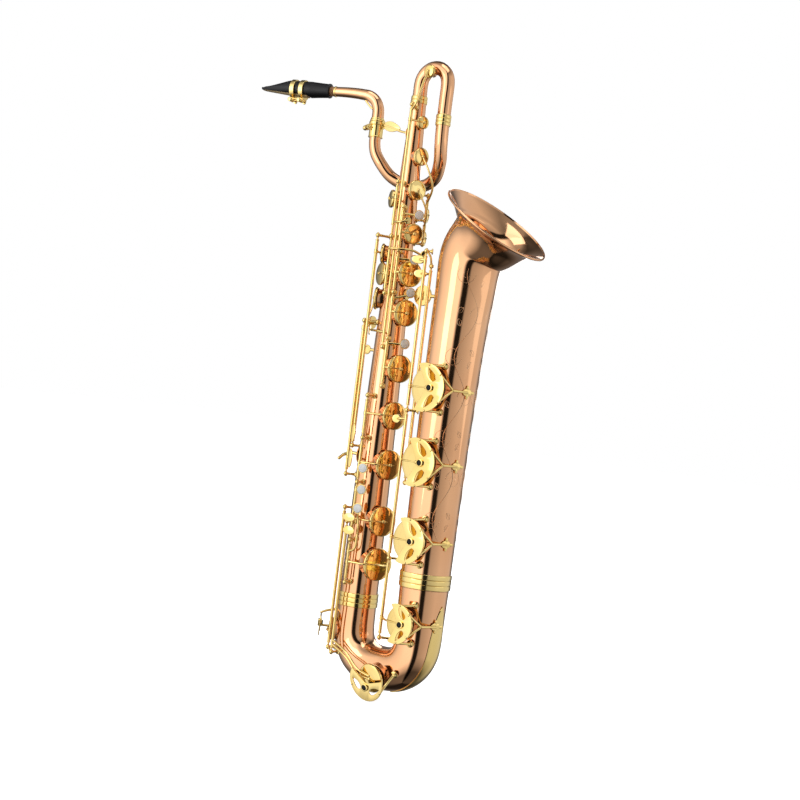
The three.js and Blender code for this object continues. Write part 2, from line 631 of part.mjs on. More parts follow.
function addMouthpiece() {
  const L = MOUTHPIECE_LENGTH;
  const R = MOUTHPIECE_R;
  const outside = turned([[0, 0], [R - 1.5, 0], [R - 1, 3], [R - 1.8, 6], [R, L * 0.3],
    [R, L * 0.62], [R * 0.9, L * 0.72], [R * 0.5, L], [0, L]], shankEnd, pieceWay, 16);
  const big = L * 3;
  const wedge = (from, up1, to, up2, side) => {
    const shape = new THREE.Shape();
    shape.moveTo(from, up1);
    shape.lineTo(to, up2);
    shape.lineTo(to, side * big);
    shape.lineTo(from, side * big);
    return plate(shape, big, inPiece(0, big / 2, 0), pieceSide.clone().negate(), pieceWay);
  };
  // Table below for the reed, beak above that slopes to the tip.
  const table = wedge(L * 0.3, -R + 3, L + 5, -R + 5.4, -1);
  const beak = wedge(L * 0.62, R + 0.5, L + 0.5, -R + 7.2, 1);
  const bore = bar(inPiece(-1, 0, 0), inPiece(L * 0.55, 0, 0), 8, 16);
  const shaped = outside.subtract(table).subtract(beak).subtract(bore);
  add("mouthpiece", shaped, rubber);
  const shape = new THREE.Shape();
  const from = L * 0.32;
  shape.moveTo(from, -8);
  shape.lineTo(L - 6, -8.2);
  shape.quadraticCurveTo(L, 0, L - 6, 8.2);
  shape.lineTo(from, 8);
  const reedTop = -R + 3 - GAP;
  const slope = 2.4 / (L * 0.7);
  const reedWay = pieceWay.clone().addScaledVector(pieceUp, slope);
  const at = inPiece(0, 0, reedTop - slope * L * 0.3);
  const under = reedWay.clone().normalize().cross(pieceSide);
  add("reed", plate(shape, 2.8, at, under.dot(pieceUp) < 0 ? under : under.negate(), reedWay), cane);
}

function addLigature() {
  const L = MOUTHPIECE_LENGTH;
  const R = MOUTHPIECE_R;
  const ring = (from, to) => bar(inPiece(from, 0, -1.4), inPiece(to, 0, -1.4), R + 3.4, 10)
    .subtract(bar(inPiece(from - 1, 0, -1.4), inPiece(to + 1, 0, -1.4), R + 2.2, 10));
  const a = L * 0.37;
  const b = L * 0.5;
  const rail = (side) => bar(inPiece(a, side, -R - 4.4), inPiece(b + 7, side, -R - 4.4), 1.9, 6);
  const screwUp = -R - 7.2;
  const lug = (at) => [-1, 1].map((s) =>
    bar(inPiece(at, s * 5, screwUp), inPiece(at, s * 8.4, screwUp), 3.2, 6));
  const web = (at) => [-1, 1].map((s) =>
    bar(inPiece(at, s * 6.6, -R - 6), inPiece(at, s * 6.6, -R - 2.4), 1.9, 6));
  const spots = [a + 3.5, b + 3.5];
  const holesCut = spots.map((at) =>
    bar(inPiece(at, -12, screwUp), inPiece(at, 12, screwUp), 1.9, 6));
  const rings = [ring(a, a + 7), ring(b, b + 7)];
  const body = join(...rings, rail(-6.6), rail(6.6), ...spots.flatMap(lug), ...spots.flatMap(web));
  add("ligature", body.subtract(join(...holesCut)), brass);
  spots.forEach((at, i) => {
    const screw = join(
      bar(inPiece(at, -10, screwUp), inPiece(at, 15, screwUp), 1.5, 6),
      bar(inPiece(at, 12, screwUp), inPiece(at, 19, screwUp), 3.6, 10));
    add(`ligature_screw_${i + 1}`, screw, brass);
  });
}

/** Receiver sleeve with its clamp lugs, and the clamp's thumb screw. */
function addReceiver() {
  const inner = RECEIVER_R + GAP + 0.3;
  const sleeve = turned([[inner, -24], [inner + 2.3, -24], [inner + 2.3, 0],
    [inner + 3, 0], [inner + 3, 2.4], [inner, 2.4], [inner, -24]],
  V(RECEIVER_X, 0, RECEIVER_Z - 2), Z_AXIS, 12);
  const out = V(-0.5, -0.866, 0);
  const side = V(0.866, -0.5, 0);
  const lugZ = RECEIVER_Z - 10;
  const at = (o, s, z = lugZ) => V(RECEIVER_X, 0, z).addScaledVector(out, o).addScaledVector(side, s);
  const lugs = [-1, 1].map((s) =>
    plate(oval(5, 5), 3, at(15, s * 4.4 - 1.5), side, Z_AXIS));
  const webs = [-1, 1].map((s) => bar(at(11.4, s * 4.4), at(16, s * 4.4), 2.2, 8));
  const bore = bar(at(15, -12), at(15, 12), 2, 10);
  add("neck_receiver", join(sleeve, ...lugs, ...webs).subtract(bore), brass);
  const screw = join(bar(at(15, -12), at(15, 9), 1.6, 10), ball(at(15, -14), 4.5));
  add("neck_clamp_screw", screw, brass);
}

/** Braces: receiver to body tube, and the ring between bell and body tube. */
function addBraces() {
  const z = RECEIVER_Z - 8;
  const start = V(RECEIVER_X + RECEIVER_R + 4.2, 0, z + 4);
  const leaf = plate(oval(11, 5.5), 2, V(RECEIVER_X + 26, -1, z + 2), V(0, 1, 0), V(1, 0, -0.15));
  const end = V(-bodyR(z - 10) - GAP - 0.4, 0, z - 10);
  const strut = bent([start, V(-50, 0, z - 1), V(-32, 0, z - 7), end], 2.2, 8);
  const foot = plate(oval(6, 9), 1.5, end.clone().add(V(-1.5, 0, 0)), V(1, 0, 0), V(0, 1, 0));
  const clasp = plate(oval(5, 8), 1.5, start.clone().add(V(-0.6, 0, 0)), V(1, 0, 0), V(0, 1, 0));
  add("receiver_brace", join(leaf, strut, foot, clasp), brass);

  const braceZ = 651;
  const bellSide = bellAt(braceZ);
  const left = bodyR(braceZ) + GAP + 1;
  const right = bellSide.x - bellSide.r - GAP - 1.8;
  const middle = (left + right) / 2;
  const ringR = 17;
  const hoop = turned([[ringR - 3, -2.2], [ringR, -2.2], [ringR, 2.2], [ringR - 3, 2.2], [ringR - 3, -2.2]],
    V(middle, 0, braceZ), V(0, 1, 0), 16);
  const arms = [[left, middle - ringR + 1], [middle + ringR - 1, right]].map(([a, b]) =>
    bar(V(a, 0, braceZ), V(b, 0, braceZ), 3, 10));
  const feet = [[left, 1], [right, -1]].map(([x, way]) =>
    turned([[0, -0.6], [9, -0.6], [9, 0.8], [4, 2.4], [0, 2.4]], V(x, 0, braceZ), V(way, 0, 0), 8));
  add("bell_brace", join(hoop, ...arms, ...feet), brass);
}

/** Strap ring, thumb rest and thumb hook on the player's side. */
function addHolds() {
  const eye = V(STRAP_X, 0, STRAP_Z);
  const ring = turned([[STRAP_RING_R - 3, -1.6], [STRAP_RING_R, -1.6], [STRAP_RING_R, 1.6],
    [STRAP_RING_R - 3, 1.6], [STRAP_RING_R - 3, -1.6]], eye, V(0, 1, 0), 20);
  const wallX = -bodyR(STRAP_Z) - GAP;
  const stem = bar(V(STRAP_X + STRAP_RING_R - 1, 0, STRAP_Z), V(wallX - 1, 0, STRAP_Z), 2.6, 10);
  const foot = plate(oval(6, 17), 2, V(wallX - 2.1, 0, STRAP_Z), V(1, 0, 0), V(0, 1, 0));
  add("strap_ring", join(ring, stem, foot), brass);

  const restZ = 600;
  const restX = -bodyR(restZ) - GAP;
  const post = bar(V(restX - 0.6, 0, restZ), V(restX - 17, 0, restZ), 4, 12);
  const padProfile = [[0, 0], [11, 0], [11, 2.6], [8.5, 4.4], [0, 4.4]];
  const pad = turned(padProfile, V(restX - 16, 0, restZ), V(-1, 0, 0), 16);
  add("thumb_rest", join(post, pad), brass);

  const hookZ = 378;
  const hookX = -bodyR(hookZ) - GAP;
  const base = plate(oval(8, 14), 2, V(hookX - 2.2, -6, hookZ), V(1, 0, 0), V(0, 1, 0));
  const hook = bent([V(hookX - 1, -6, hookZ), V(hookX - 16, -8, hookZ + 1),
    V(hookX - 27, -14, hookZ - 3), V(hookX - 29, -24, hookZ - 10)], 3, 8, 8);
  add("thumb_hook", join(base, hook), brass);
}

// Keys: open-standing ones are turned open about their rod, closed-standing ones rest shut.

/** Degrees that lift a cup's middle by its opening. */
function openAngle(line, hole, opening = CUP_OPEN) {
  const reach = Math.hypot(hole.seat.x - line.x, hole.seat.y - line.y);
  return -THREE.MathUtils.radToDeg(opening / reach);
}

function addStacks() {
  const keys = [
    ["f_sharp_key", lowerStack, [415, 471], holes.f_sharp, null],
    ["f_key", lowerStack, [342, 401], holes.f, { z: 359, phi: -69, rho: BODY_BOTTOM_R + 23.5, rise: 0 }],
    ["e_key", lowerStack, [247, 328], holes.e, { z: 322, phi: -67, rho: BODY_BOTTOM_R + 23.5, rise: 2 }],
    ["d_key", lowerStack, [177, 233], holes.d, { z: 221, phi: -69, rho: BODY_BOTTOM_R + 24.5, rise: 72 }],
    ["g_key", upperStack, [503, 568], holes.g, { z: 566, phi: -20, rho: BODY_MIDDLE_R + 21, rise: 2 }],
    ["a_key", upperStack, [582, 644], holes.a, { z: 640, phi: -20, rho: BODY_MIDDLE_R + 19, rise: 12 }],
    ["b_key", upperStack, [658, 713], holes.b, { z: 706, phi: -20, rho: BODY_MIDDLE_R + 18, rise: 0 }],
    ["c_key", upperStack, [727, 785], holes.c, { z: 780, phi: -20, rho: BODY_MIDDLE_R + 15, rise: 0 }],
  ];
  for (const [name, line, [low, high], hole, touch] of keys) {
    const pieces = [barrel(onLine(line, low), onLine(line, high)), cup(hole), arm(line, hole.seat.z, hole)];
    if (touch) pieces.push(pearl(line, touch));
    const angle = openAngle(line, hole, STACK_OPEN);
    add(name, turnAbout(hollowed(join(...pieces), line), line, angle), brass);
  }
  add("lower_stack_posts", postsAndRod(lowerStack, [170, 240, 335, 408, 478]), brass);
  add("upper_stack_posts", postsAndRod(upperStack, [496, 575, 651, 720, 792]), brass);
}

/** The solid with its hinge line's rod space cleared again after joining. */
function hollowed(solid, line) {
  return solid.subtract(bar(onLine(line, 0), onLine(line, 1100), ROD_R + 0.4));
}

/** A closed-standing or open-standing key on one line, from ready pieces. */
function lineKey(name, line, [low, high], pieces, angle = 0) {
  const solid = hollowed(join(barrel(onLine(line, low), onLine(line, high)), ...pieces), line);
  add(name, angle ? turnAbout(solid, line, angle) : solid, brass);
}

function addUpperKeys() {
  const table = V(57, -12, 714);
  const crossLever = bent([onLine(leftLine, 720), polar(-73, 46.5, 721), polar(-52, 48, 721),
    polar(-30, 50.5, 721), table], 2, 7);
  const tile = plate(oval(9, 6), 2.4, table, V(0.6, -0.8, 0), Z_AXIS);
  lineKey("g_sharp_key", leftLine, [655, 724],
    [cup(holes.g_sharp), arm(leftLine, 680, holes.g_sharp), crossLever, tile]);
  lineKey("front_f_key", leftLine, [760, 825],
    [cup(holes.front_f), arm(leftLine, 806, holes.front_f),
      bent([onLine(leftLine, 765), polar(-62, 50, 765), polar(-46, 52, 768)], 1.9, 5),
      turned([[0, 0], [6, 0], [6, 2], [0, 3]], polar(-46, 50, 768), polar(-46, 1, 0), 12)]);
  add("left_posts", postsAndRod(leftLine, [648, 742, 832]), brass);

  const thumb = bent([onLine(octaveLine, 584), polar(-95, 33, 585), polar(-130, 33, 586),
    polar(-148, 35, 587)], 1.9, 7);
  const thumbPlate = plate(oval(9, 6), 2.2, polar(-152, 35, 587), polar(-152, 1, 0), Z_AXIS);
  const ventTop = topVent.seat.clone().addScaledVector(topVent.axis, CUP_HEIGHT + 0.6);
  const ventRise = TOP_BOW_Z;
  lineKey("octave_key", octaveLine, [567, ventRise - 46],
    [cup(holes.octave), arm(octaveLine, 935, holes.octave), thumb, thumbPlate, cup(topVent),
      bent([onLine(octaveLine, ventRise - 50), V(24, -38, ventRise - 38), V(27, -32, ventRise - 10),
        ventTop], 2, 5), ball(ventTop, 2.8)]);
  add("octave_posts", postsAndRod(octaveLine, [560, ventRise - 40]), brass);

  const sides = [
    ["side_b_flat_key", sideLine2, [352, 592], holes.side_b_flat, 372, 588, [polar(-145, 46, 592)]],
    ["side_c_key", sideLine, [400, 735], holes.side_c, 414, 715, []],
  ];
  for (const [name, line, span, hole, z, armZ, via] of sides) {
    const touch = paddle(line, z, -103, BODY_BOTTOM_R + 20.5, 16, 5);
    lineKey(name, line, span, [cup(hole), arm(line, armZ, hole, via), touch]);
  }
  add("side_c_posts", postsAndRod(sideLine, [393, 742]), brass);
  add("side_b_flat_posts", postsAndRod(sideLine2, [345, 600]), brass);
}

function addPalmKeys() {
  const highArm = (z, waypoints, hole) => {
    const top = hole.seat.clone().addScaledVector(hole.axis, CUP_HEIGHT + 0.6);
    return join(bent([onLine(palmLine, z), ...waypoints, top], 2, 7), ball(top, 2.8));
  };
  const touch = (z, rise) => {
    const at = polar(80, 47, z + rise);
    return join(bent([onLine(palmLine, z), polar(62, 43, z), at], 2, 5),
      plate(oval(6, 13), 2.4, at, polar(80, 1, 0), V(1, 0, 0)));
  };
  lineKey("palm_d_key", palmLine, [745, 770],
    [cup(holes.palm_d), highArm(767, [V(37, 8, 790)], holes.palm_d), touch(750, 0)]);
  lineKey("palm_e_flat_key", palmLine, [784, 812],
    [cup(holes.palm_e_flat), highArm(808, [V(42, 10, 830), V(40, -3, 856)], holes.palm_e_flat),
      touch(789, 0)]);
  add("palm_key_posts", postsAndRod(palmLine, [738, 777, 819]), brass);
}

function addLowKeys() {
  const { low_c: lowC, e_flat: eFlat, low_a: lowA } = bowHoles;
  const top = lowC.seat.clone().addScaledVector(lowC.axis, CUP_HEIGHT + 0.6);
  const reach = [0, 7].map((rise) => bent([onLine(lowCLine, 66 + rise), V(32, -52, 52 + rise),
    V(60, -50, 30 + rise), top.clone().add(V(0, -1, rise * 0.6))], 1.9, 8));
  lineKey("low_c_key", lowCLine, [60, 262],
    [cup(lowC), ...reach, ball(top, 3.4), paddle(lowCLine, 256, -79, BODY_BOTTOM_R + 28.5, 7, 11)],
    openAngle(lowCLine, lowC));
  lineKey("e_flat_key", eFlatLine, [66, 284],
    [cup(eFlat), arm(eFlatLine, 86, eFlat), paddle(eFlatLine, 277, -81, BODY_BOTTOM_R + 31, 7, 11)]);
  add("low_key_posts", join(
    postsAndRod(lowCLine, [53, 269]),
    postsAndRod(eFlatLine, [59, 291]),
    bent([onLine(lowCLine, 53), onLine(eFlatLine, 59)], 1.7, 1)), brass);

  const tableTile = (line, z, at, wide) => join(
    bent([onLine(line, z), at.clone().lerp(onLine(line, z), 0.4).add(V(0, -3, 0)), at], 2, 5),
    plate(oval(7, wide), 2.4, at, V(0.5, -0.866, 0), Z_AXIS));
  lineKey("low_b_flat_key", bellLine1, [470, 712],
    [cup(bellHoles.b_flat), arm(bellLine1, 501, bellHoles.b_flat),
      tableTile(bellLine1, 705, V(66, -36, 706), 12)], openAngle(bellLine1, bellHoles.b_flat));
  lineKey("low_b_key", bellLine2, [352, 690],
    [cup(bellHoles.b), arm(bellLine2, 382, bellHoles.b),
      tableTile(bellLine2, 684, V(66, -28, 684), 11)], openAngle(bellLine2, bellHoles.b));
  lineKey("low_c_sharp_key", bellLine1, [230, 455],
    [cup(bellHoles.c_sharp), arm(bellLine1, 257, bellHoles.c_sharp),
      tableTile(bellLine1, 448, V(64, -40, 446), 8)], openAngle(bellLine1, bellHoles.c_sharp));
  lineKey("low_a_key", bellLine1, [100, 214],
    [cup(lowA), arm(bellLine1, 125, lowA),
      bent([onLine(bellLine1, 208), V(72, -44, 208), V(60, -42, 208)], 2, 4)],
    openAngle(bellLine1, lowA));
  add("bell_key_posts", join(
    postsAndRod(bellLine1, [93, 222, 462, 720]),
    postsAndRod(bellLine2, [345, 697]),
    bent([onLine(bellLine1, 720), V(88, -34, 712), onLine(bellLine2, 697)], 1.8, 4)), brass);
}

function addGuards() {
  const { low_a: lowA, low_c: lowC, e_flat: eFlat } = bowHoles;
  const footAt = (x, tubeR, phi, z, lift) => {
    const out = polar(phi, 1, 0);
    return [V(x, 0, z).addScaledVector(out, tubeR + GAP + lift), out];
  };
  const list = [
    ["low_b_flat_guard", bellHoles.b_flat, 39],
    ["low_b_guard", bellHoles.b, 39],
    ["low_c_sharp_guard", bellHoles.c_sharp, 37],
    ["low_a_guard", lowA, 32],
  ];
  for (const [name, hole, radius] of list) {
    const { z } = hole.seat;
    const { x, r } = z > BELL_BOTTOM_Z ? bellAt(z) : { x: BELL_X, r: BELL_BOTTOM_R };
    const beyondCup = hole.r + GUARD_STAND_OFF;
    const legs = [1, -1].map((s) => [s * 80, ...footAt(x, r, -70, z + s * beyondCup, 2.2)]);
    add(name, guard(hole, radius, V(1, 0, 0), legs, footAt(x, r, -17, z, 1.5)), brass);
  }
  const beside = (x, dir) => {
    const out = dir.clone().normalize();
    return [V(x, 0, bowAxisZ(x)).addScaledVector(out, bowR(x) + GAP + 1.4), out];
  };
  add("low_c_guard", guard(lowC, 33, V(-0.2, 0, -1), [
    [75, ...beside(LOW_C_X + 26, V(0.25, -0.9, -0.25))],
    [-60, ...beside(LOW_C_X - 34, V(-0.3, -0.9, -0.4))],
  ]), brass);
  const eFoot = (phi, z) => [polar(phi, BODY_BOTTOM_R + GAP + 1.4, z), polar(phi, 1, 0)];
  add("e_flat_guard", guard(eFlat, 27, V(0, 0, 1), [
    [90, ...eFoot(-190, 86)],
    [0, ...eFoot(-150, 118)],
  ]), brass);
}

addTubes();
addUpperTubes();
addBowPlate();
addNeck();
addLigature();
addReceiver();
addBraces();
addHolds();
addStacks();
addUpperKeys();
addPalmKeys();
addLowKeys();
addGuards();

instrument.position.set(-STRAP_X, 0, -STRAP_Z);

export default instrument;
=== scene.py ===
import logging
import math
from collections.abc import Callable, Sequence
from dataclasses import dataclass, field
from enum import Enum

import bmesh
import bpy
from mathutils import Matrix, Vector


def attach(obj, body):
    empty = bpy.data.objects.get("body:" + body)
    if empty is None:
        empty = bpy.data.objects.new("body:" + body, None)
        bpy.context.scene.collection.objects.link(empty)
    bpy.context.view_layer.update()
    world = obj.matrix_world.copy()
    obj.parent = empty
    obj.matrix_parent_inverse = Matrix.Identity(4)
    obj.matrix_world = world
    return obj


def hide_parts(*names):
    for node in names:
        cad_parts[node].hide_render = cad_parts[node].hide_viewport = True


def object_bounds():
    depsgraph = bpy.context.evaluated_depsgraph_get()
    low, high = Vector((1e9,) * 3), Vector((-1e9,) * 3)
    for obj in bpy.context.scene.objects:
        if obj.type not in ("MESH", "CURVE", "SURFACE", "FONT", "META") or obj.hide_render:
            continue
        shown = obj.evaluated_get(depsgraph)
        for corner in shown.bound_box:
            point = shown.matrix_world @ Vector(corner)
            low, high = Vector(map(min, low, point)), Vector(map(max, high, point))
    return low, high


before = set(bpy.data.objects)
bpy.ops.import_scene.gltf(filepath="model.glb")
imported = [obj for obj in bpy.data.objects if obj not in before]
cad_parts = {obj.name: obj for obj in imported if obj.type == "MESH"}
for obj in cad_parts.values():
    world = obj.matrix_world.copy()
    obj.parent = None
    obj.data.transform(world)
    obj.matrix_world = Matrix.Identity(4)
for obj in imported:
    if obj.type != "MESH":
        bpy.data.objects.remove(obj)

log = logging.getLogger("baritone")
CAD_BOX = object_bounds()

MM = 0.001
WELD = 2e-6  # metres within which points become one
SHARP_ANGLE = 38.0  # degrees between faces that meet in a hard edge
STRAP_EYE = Vector((-46, 0, 554))
Z = Vector((0, 0, 1))
GAP = 0.3  # air between pieces that touch
CHIMNEY = 4.5  # how far a tone hole's rim stands off its tube
CUP_HEIGHT = 7.0
ROD_R = 1.5
BARREL_R = 3.0
POST_HEAD_R = 3.9
GUARD_LIFT = 21.0  # guard plate above the tone hole's rim
BOSS_OFFSET = 0.3  # boss, as a share of a guard's radius from its middle
RECEIVER_X = -84.0
RECEIVER_Z = 938.0  # mouth of the neck receiver
RECEIVER_R = 9.8
TOP_BOW_Z = 1000.0  # centre of the upper bow's half circle


# ---- Shape helpers, in millimetres about the body tube's axis --------------------------


def vec(x: float, y: float, z: float) -> Vector:
    """A point or direction."""
    return Vector((x, y, z))


def polar(phi: float, rho: float, z: float) -> Vector:
    """The point at angle phi (degrees) and distance rho from the body tube's axis."""
    a = math.radians(phi)
    return vec(rho * math.cos(a), rho * math.sin(a), z)


def flow(points: Sequence[Vector], count: int) -> list[Vector]:
    """Evenly spaced points on the smooth curve through some points.

    Args:
        points: The points that the curve passes through.
        count: How many equal steps the curve is cut into.

    Returns:
        count + 1 points, the first and last being those given.
    """
    p = [2 * points[0] - points[1], *points, 2 * points[-1] - points[-2]]
    dense: list[Vector] = []
    fine = 24
    for i in range(1, len(p) - 2):
        a, b, c, d = p[i - 1 : i + 3]
        da, db, dc = (max((v - u).length, 1e-6) ** 0.5 for u, v in ((a, b), (b, c), (c, d)))
        start = ((b - a) / da - (c - a) / (da + db) + (c - b) / db) * db
        end = ((c - b) / db - (d - b) / (db + dc) + (d - c) / dc) * db
        for k in range(fine):
            t = k / fine
            dense.append(
                b * (2 * t**3 - 3 * t**2 + 1) + start * (t**3 - 2 * t**2 + t)
                + c * (3 * t**2 - 2 * t**3) + end * (t**3 - t**2)
            )
    dense.append(points[-1].copy())
    reach = [0.0]
    for u, v in zip(dense, dense[1:]):
        reach.append(reach[-1] + (v - u).length)
    out = []
    k = 0
    for i in range(count + 1):
        want = reach[-1] * i / count
        while k < len(dense) - 2 and reach[k + 1] < want:
            k += 1
        share = (want - reach[k]) / max(reach[k + 1] - reach[k], 1e-9)
        out.append(dense[k].lerp(dense[k + 1], share))
    return out


def taper(start: float, end: float, steps: int) -> list[float]:
    """Values that change evenly from start to end, in steps + 1 places."""
    return [start + (end - start) * i / steps for i in range(steps + 1)]


def circle(count: int) -> list[tuple[float, float]]:
    """The cosines and sines of evenly spaced angles once round."""
    turns = [2 * math.pi * k / count for k in range(count)]
    return [(math.cos(a), math.sin(a)) for a in turns]


def basis(direction: Vector, across: Vector, origin: Vector) -> Matrix:
    """A placing whose Z is direction and whose X is across, squared up."""
    z = direction.normalized()
    x = (across - z * across.dot(z)).normalized()
    y = z.cross(x)
    place = Matrix((x, y, z)).transposed().to_4x4()
    place.translation = origin
    return place


def rounded(corners: Sequence[tuple[float, float]], radius: float, steps: int = 4) -> list:
    """An open outline with its inner corners rounded.

    Args:
        corners: The outline's corners, as pairs.
        radius: The rounding's size, limited by the sides next to a corner.
        steps: How many pieces each rounding has.

    Returns:
        The rounded outline, as pairs.
    """
    out = [corners[0]]
    for before, at, after in zip(corners, corners[1:], corners[2:]):
        b, p, n = Vector(before), Vector(at), Vector(after)
        cut = min(radius, (b - p).length * 0.45, (n - p).length * 0.45)
        start = p + (b - p).normalized() * cut
        end = p + (n - p).normalized() * cut
        for i in range(steps + 1):
            t = i / steps
            q = start * (1 - t) ** 2 + p * 2 * t * (1 - t) + end * t * t
            out.append((q.x, q.y))
    out.append(corners[-1])
    return out


class Finish(Enum):
    """The finishes of the instrument; a finish that the record doesn't list goes with gold."""

    BRONZE = "bronze_lacquer"
    GOLD = "gold_lacquer"
    RUBBER = "hard_rubber"
    CORK = "cork"
    CANE = "cane"
    LEATHER = "pad_leather"
    FELT = "felt"
    PEARL = "pearl"
    # painted shade: the colour of the dark disc that stands in for the shade inside each tone hole, not a
    # finish of the instrument
    PAINTED_SHADE = "painted_bore_shade"
    STEEL = "spring_steel"
    ENGRAVED = "engraved_bronze"


class Skin:
    """The surface of one piece, gathered in millimetres and then made into an object."""

    def __init__(self) -> None:
        """Starts with no faces."""
        self.mesh = bmesh.new()
        self.finishes: list[Finish] = []

    def _slot(self, finish: Finish) -> int:
        """The index of a finish in this piece's own list."""
        if finish not in self.finishes:
            self.finishes.append(finish)
        return self.finishes.index(finish)

    def rings(self, rings: Sequence[Sequence[Vector]], finish: Finish, caps: bool = True) -> None:
        """Joins rings of points, one after another, with faces.

        Args:
            rings: Rings with equal numbers of points; a ring may be a single point repeated.
            finish: The finish of the faces.
            caps: Whether the first and last ring are closed.
        """
        slot = self._slot(finish)
        made = [[self.mesh.verts.new(p) for p in ring] for ring in rings]
        n = len(made[0])
        for a, b in zip(made, made[1:]):
            for i in range(n):
                j = (i + 1) % n
                face = self.mesh.faces.new((a[i], a[j], b[j], b[i]))
                face.material_index = slot
                face.smooth = True
        if caps:
            for ring in (made[0][::-1], made[-1]):
                face = self.mesh.faces.new(ring)
                face.material_index = slot
                face.smooth = True

    def sweep(self, centres: Sequence[Vector], radii: Sequence[float], finish: Finish,
              sides: int = 16, caps: bool = True) -> None:
        """A round bar or tube along a line of centres.

        Args:
            centres: Points on the centre line.
            radii: The radius at each of them.
            finish: Its finish.
            sides: Facets round it.
            caps: Whether its ends are closed.
        """
        rings = []
        normal = None
        last = len(centres) - 1
        for i, centre in enumerate(centres):
            along = (centres[min(i + 1, last)] - centres[max(i - 1, 0)]).normalized()
            if normal is None:
                normal = vec(0, 1, 0) if abs(along.y) < 0.9 else vec(1, 0, 0)
            normal = (normal - along * normal.dot(along)).normalized()
            side = along.cross(normal)
            rings.append([centre + (normal * c + side * s) * radii[i] for c, s in circle(sides)])
        self.rings(rings, finish, caps)

    def wire(self, points: Sequence[Vector], radius: float, end: float | None = None,
             steps: int = 20, sides: int = 14, finish: Finish = Finish.GOLD) -> None:
        """A bent bar through points, tapering from radius to end."""
        line = flow(points, steps)
        end = radius if end is None else end
        self.sweep(line, taper(radius, end, steps), finish, sides)

    def bar(self, a: Vector, b: Vector, radius: float, end: float | None = None,
            sides: int = 20, finish: Finish = Finish.GOLD) -> None:
        """A straight round bar with softened ends."""
        end = radius if end is None else end
        way = (b - a).normalized()
        soft = min(0.35, (b - a).length / 4, radius * 0.4)
        centres = [a, a + way * soft, b - way * soft, b]
        self.sweep(centres, [radius - soft, radius, end, end - soft], finish, sides)

    def turned(self, profile: Sequence[tuple[float, float]], base: Vector, direction: Vector,
               sides: int = 40, stretch: tuple[float, float] = (1, 1),
               across: Vector | None = None, finish: Finish = Finish.GOLD) -> None:
        """A turned surface: the profile holds radius and height pairs along direction."""
        guess = vec(1, 0, 0) if abs(direction.normalized().x) < 0.9 else vec(0, 1, 0)
        place = basis(direction, across or guess, base)
        rings = []
        for r, h in profile:
            r = max(r, 0.01)
            rings.append([place @ vec(r * stretch[0] * c, r * stretch[1] * s, h) for c, s in circle(sides)])
        self.rings(rings, finish)

    def ball(self, centre: Vector, radius: float, finish: Finish = Finish.GOLD) -> None:
        """A small ball."""
        n = 12
        arc = [(radius * math.sin(math.pi * i / n), -radius * math.cos(math.pi * i / n))
               for i in range(n + 1)]
        self.turned(arc, centre, Z, 20, finish=finish)

    def pad(self, base: Vector, out: Vector, across: Vector, size: tuple[float, float],
            thick: float, crown: float = 0.6, finish: Finish = Finish.GOLD) -> None:
        """An oval button with a rounded edge and a slight crown."""
        profile = rounded([(0, 0), (0.92, 0), (1, 0.3 * thick), (0.97, thick * 0.8),
                           (0.8, thick), (0, thick + crown)], 0.12)
        self.turned(profile, base, out, 40, size, across, finish=finish)

    def plate(self, outlines: Sequence[Sequence[tuple[float, float]]], thick: float,
              place: Matrix, edge: float = 0.35, finish: Finish = Finish.GOLD) -> None:
        """A flat plate with rounded edges; outlines after the first are openings."""
        curve = bpy.data.curves.new("outline", "CURVE")
        curve.dimensions = "2D"
        curve.fill_mode = "BOTH"
        curve.extrude = thick / 2 - edge
        curve.bevel_depth = edge
        curve.bevel_resolution = 2
        curve.offset = -edge
        for outline in outlines:
            spline = curve.splines.new("POLY")
            spline.points.add(len(outline) - 1)
            for point, (x, y) in zip(spline.points, outline):
                point.co = (x, y, 0, 1)
            spline.use_cyclic_u = True
        maker = bpy.data.objects.new("outline", curve)
        flat = bpy.data.meshes.new_from_object(maker)
        flat.transform(place @ Matrix.Translation((0, 0, thick / 2)))
        slot = self._slot(finish)
        first = len(self.mesh.faces)
        self.mesh.from_mesh(flat)
        self.mesh.faces.ensure_lookup_table()
        for face in self.mesh.faces[first:]:
            face.material_index = slot
            face.smooth = True
        bpy.data.objects.remove(maker)
        bpy.data.meshes.remove(flat)
        bpy.data.curves.remove(curve)

    def turn_about(self, line: "HingeLine", angle: float) -> None:
        """Turns everything made so far about a hinge line, in degrees."""
        centre = vec(line.x, line.y, 0)
        spin = Matrix.Translation(centre) @ Matrix.Rotation(math.radians(angle), 4, "Z")
        self.mesh.transform(spin @ Matrix.Translation(-centre))

    def place(self, name: str, body: str, *nodes: str) -> bpy.types.Object:
        """Makes the object, in metres in the frame, riding on a body.

        Args:
            name: The object's name.
            body: The CAD body that it rides on.
            nodes: The CAD nodes that it stands for.

        Returns:
            The finished object.
        """
        shift = Matrix.Scale(MM, 4) @ Matrix.Translation(-STRAP_EYE)
        self.mesh.transform(shift)
        bmesh.ops.remove_doubles(self.mesh, verts=self.mesh.verts, dist=WELD)
        bmesh.ops.recalc_face_normals(self.mesh, faces=self.mesh.faces)
        mesh = bpy.data.meshes.new(name)
        self.mesh.to_mesh(mesh)
        self.mesh.free()
        mesh.set_sharp_from_angle(angle=math.radians(SHARP_ANGLE))
        for finish in self.finishes:
            mesh.materials.append(MATERIALS[finish])
        made = bpy.data.objects.new(name, mesh)
        bpy.context.scene.collection.objects.link(made)
        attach(made, body)
        if nodes:
            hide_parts(*nodes)
        log.info("%s: %d faces on %s", name, len(mesh.polygons), body)
        return made


# ---- Finishes --------------------------------------------------------------------------


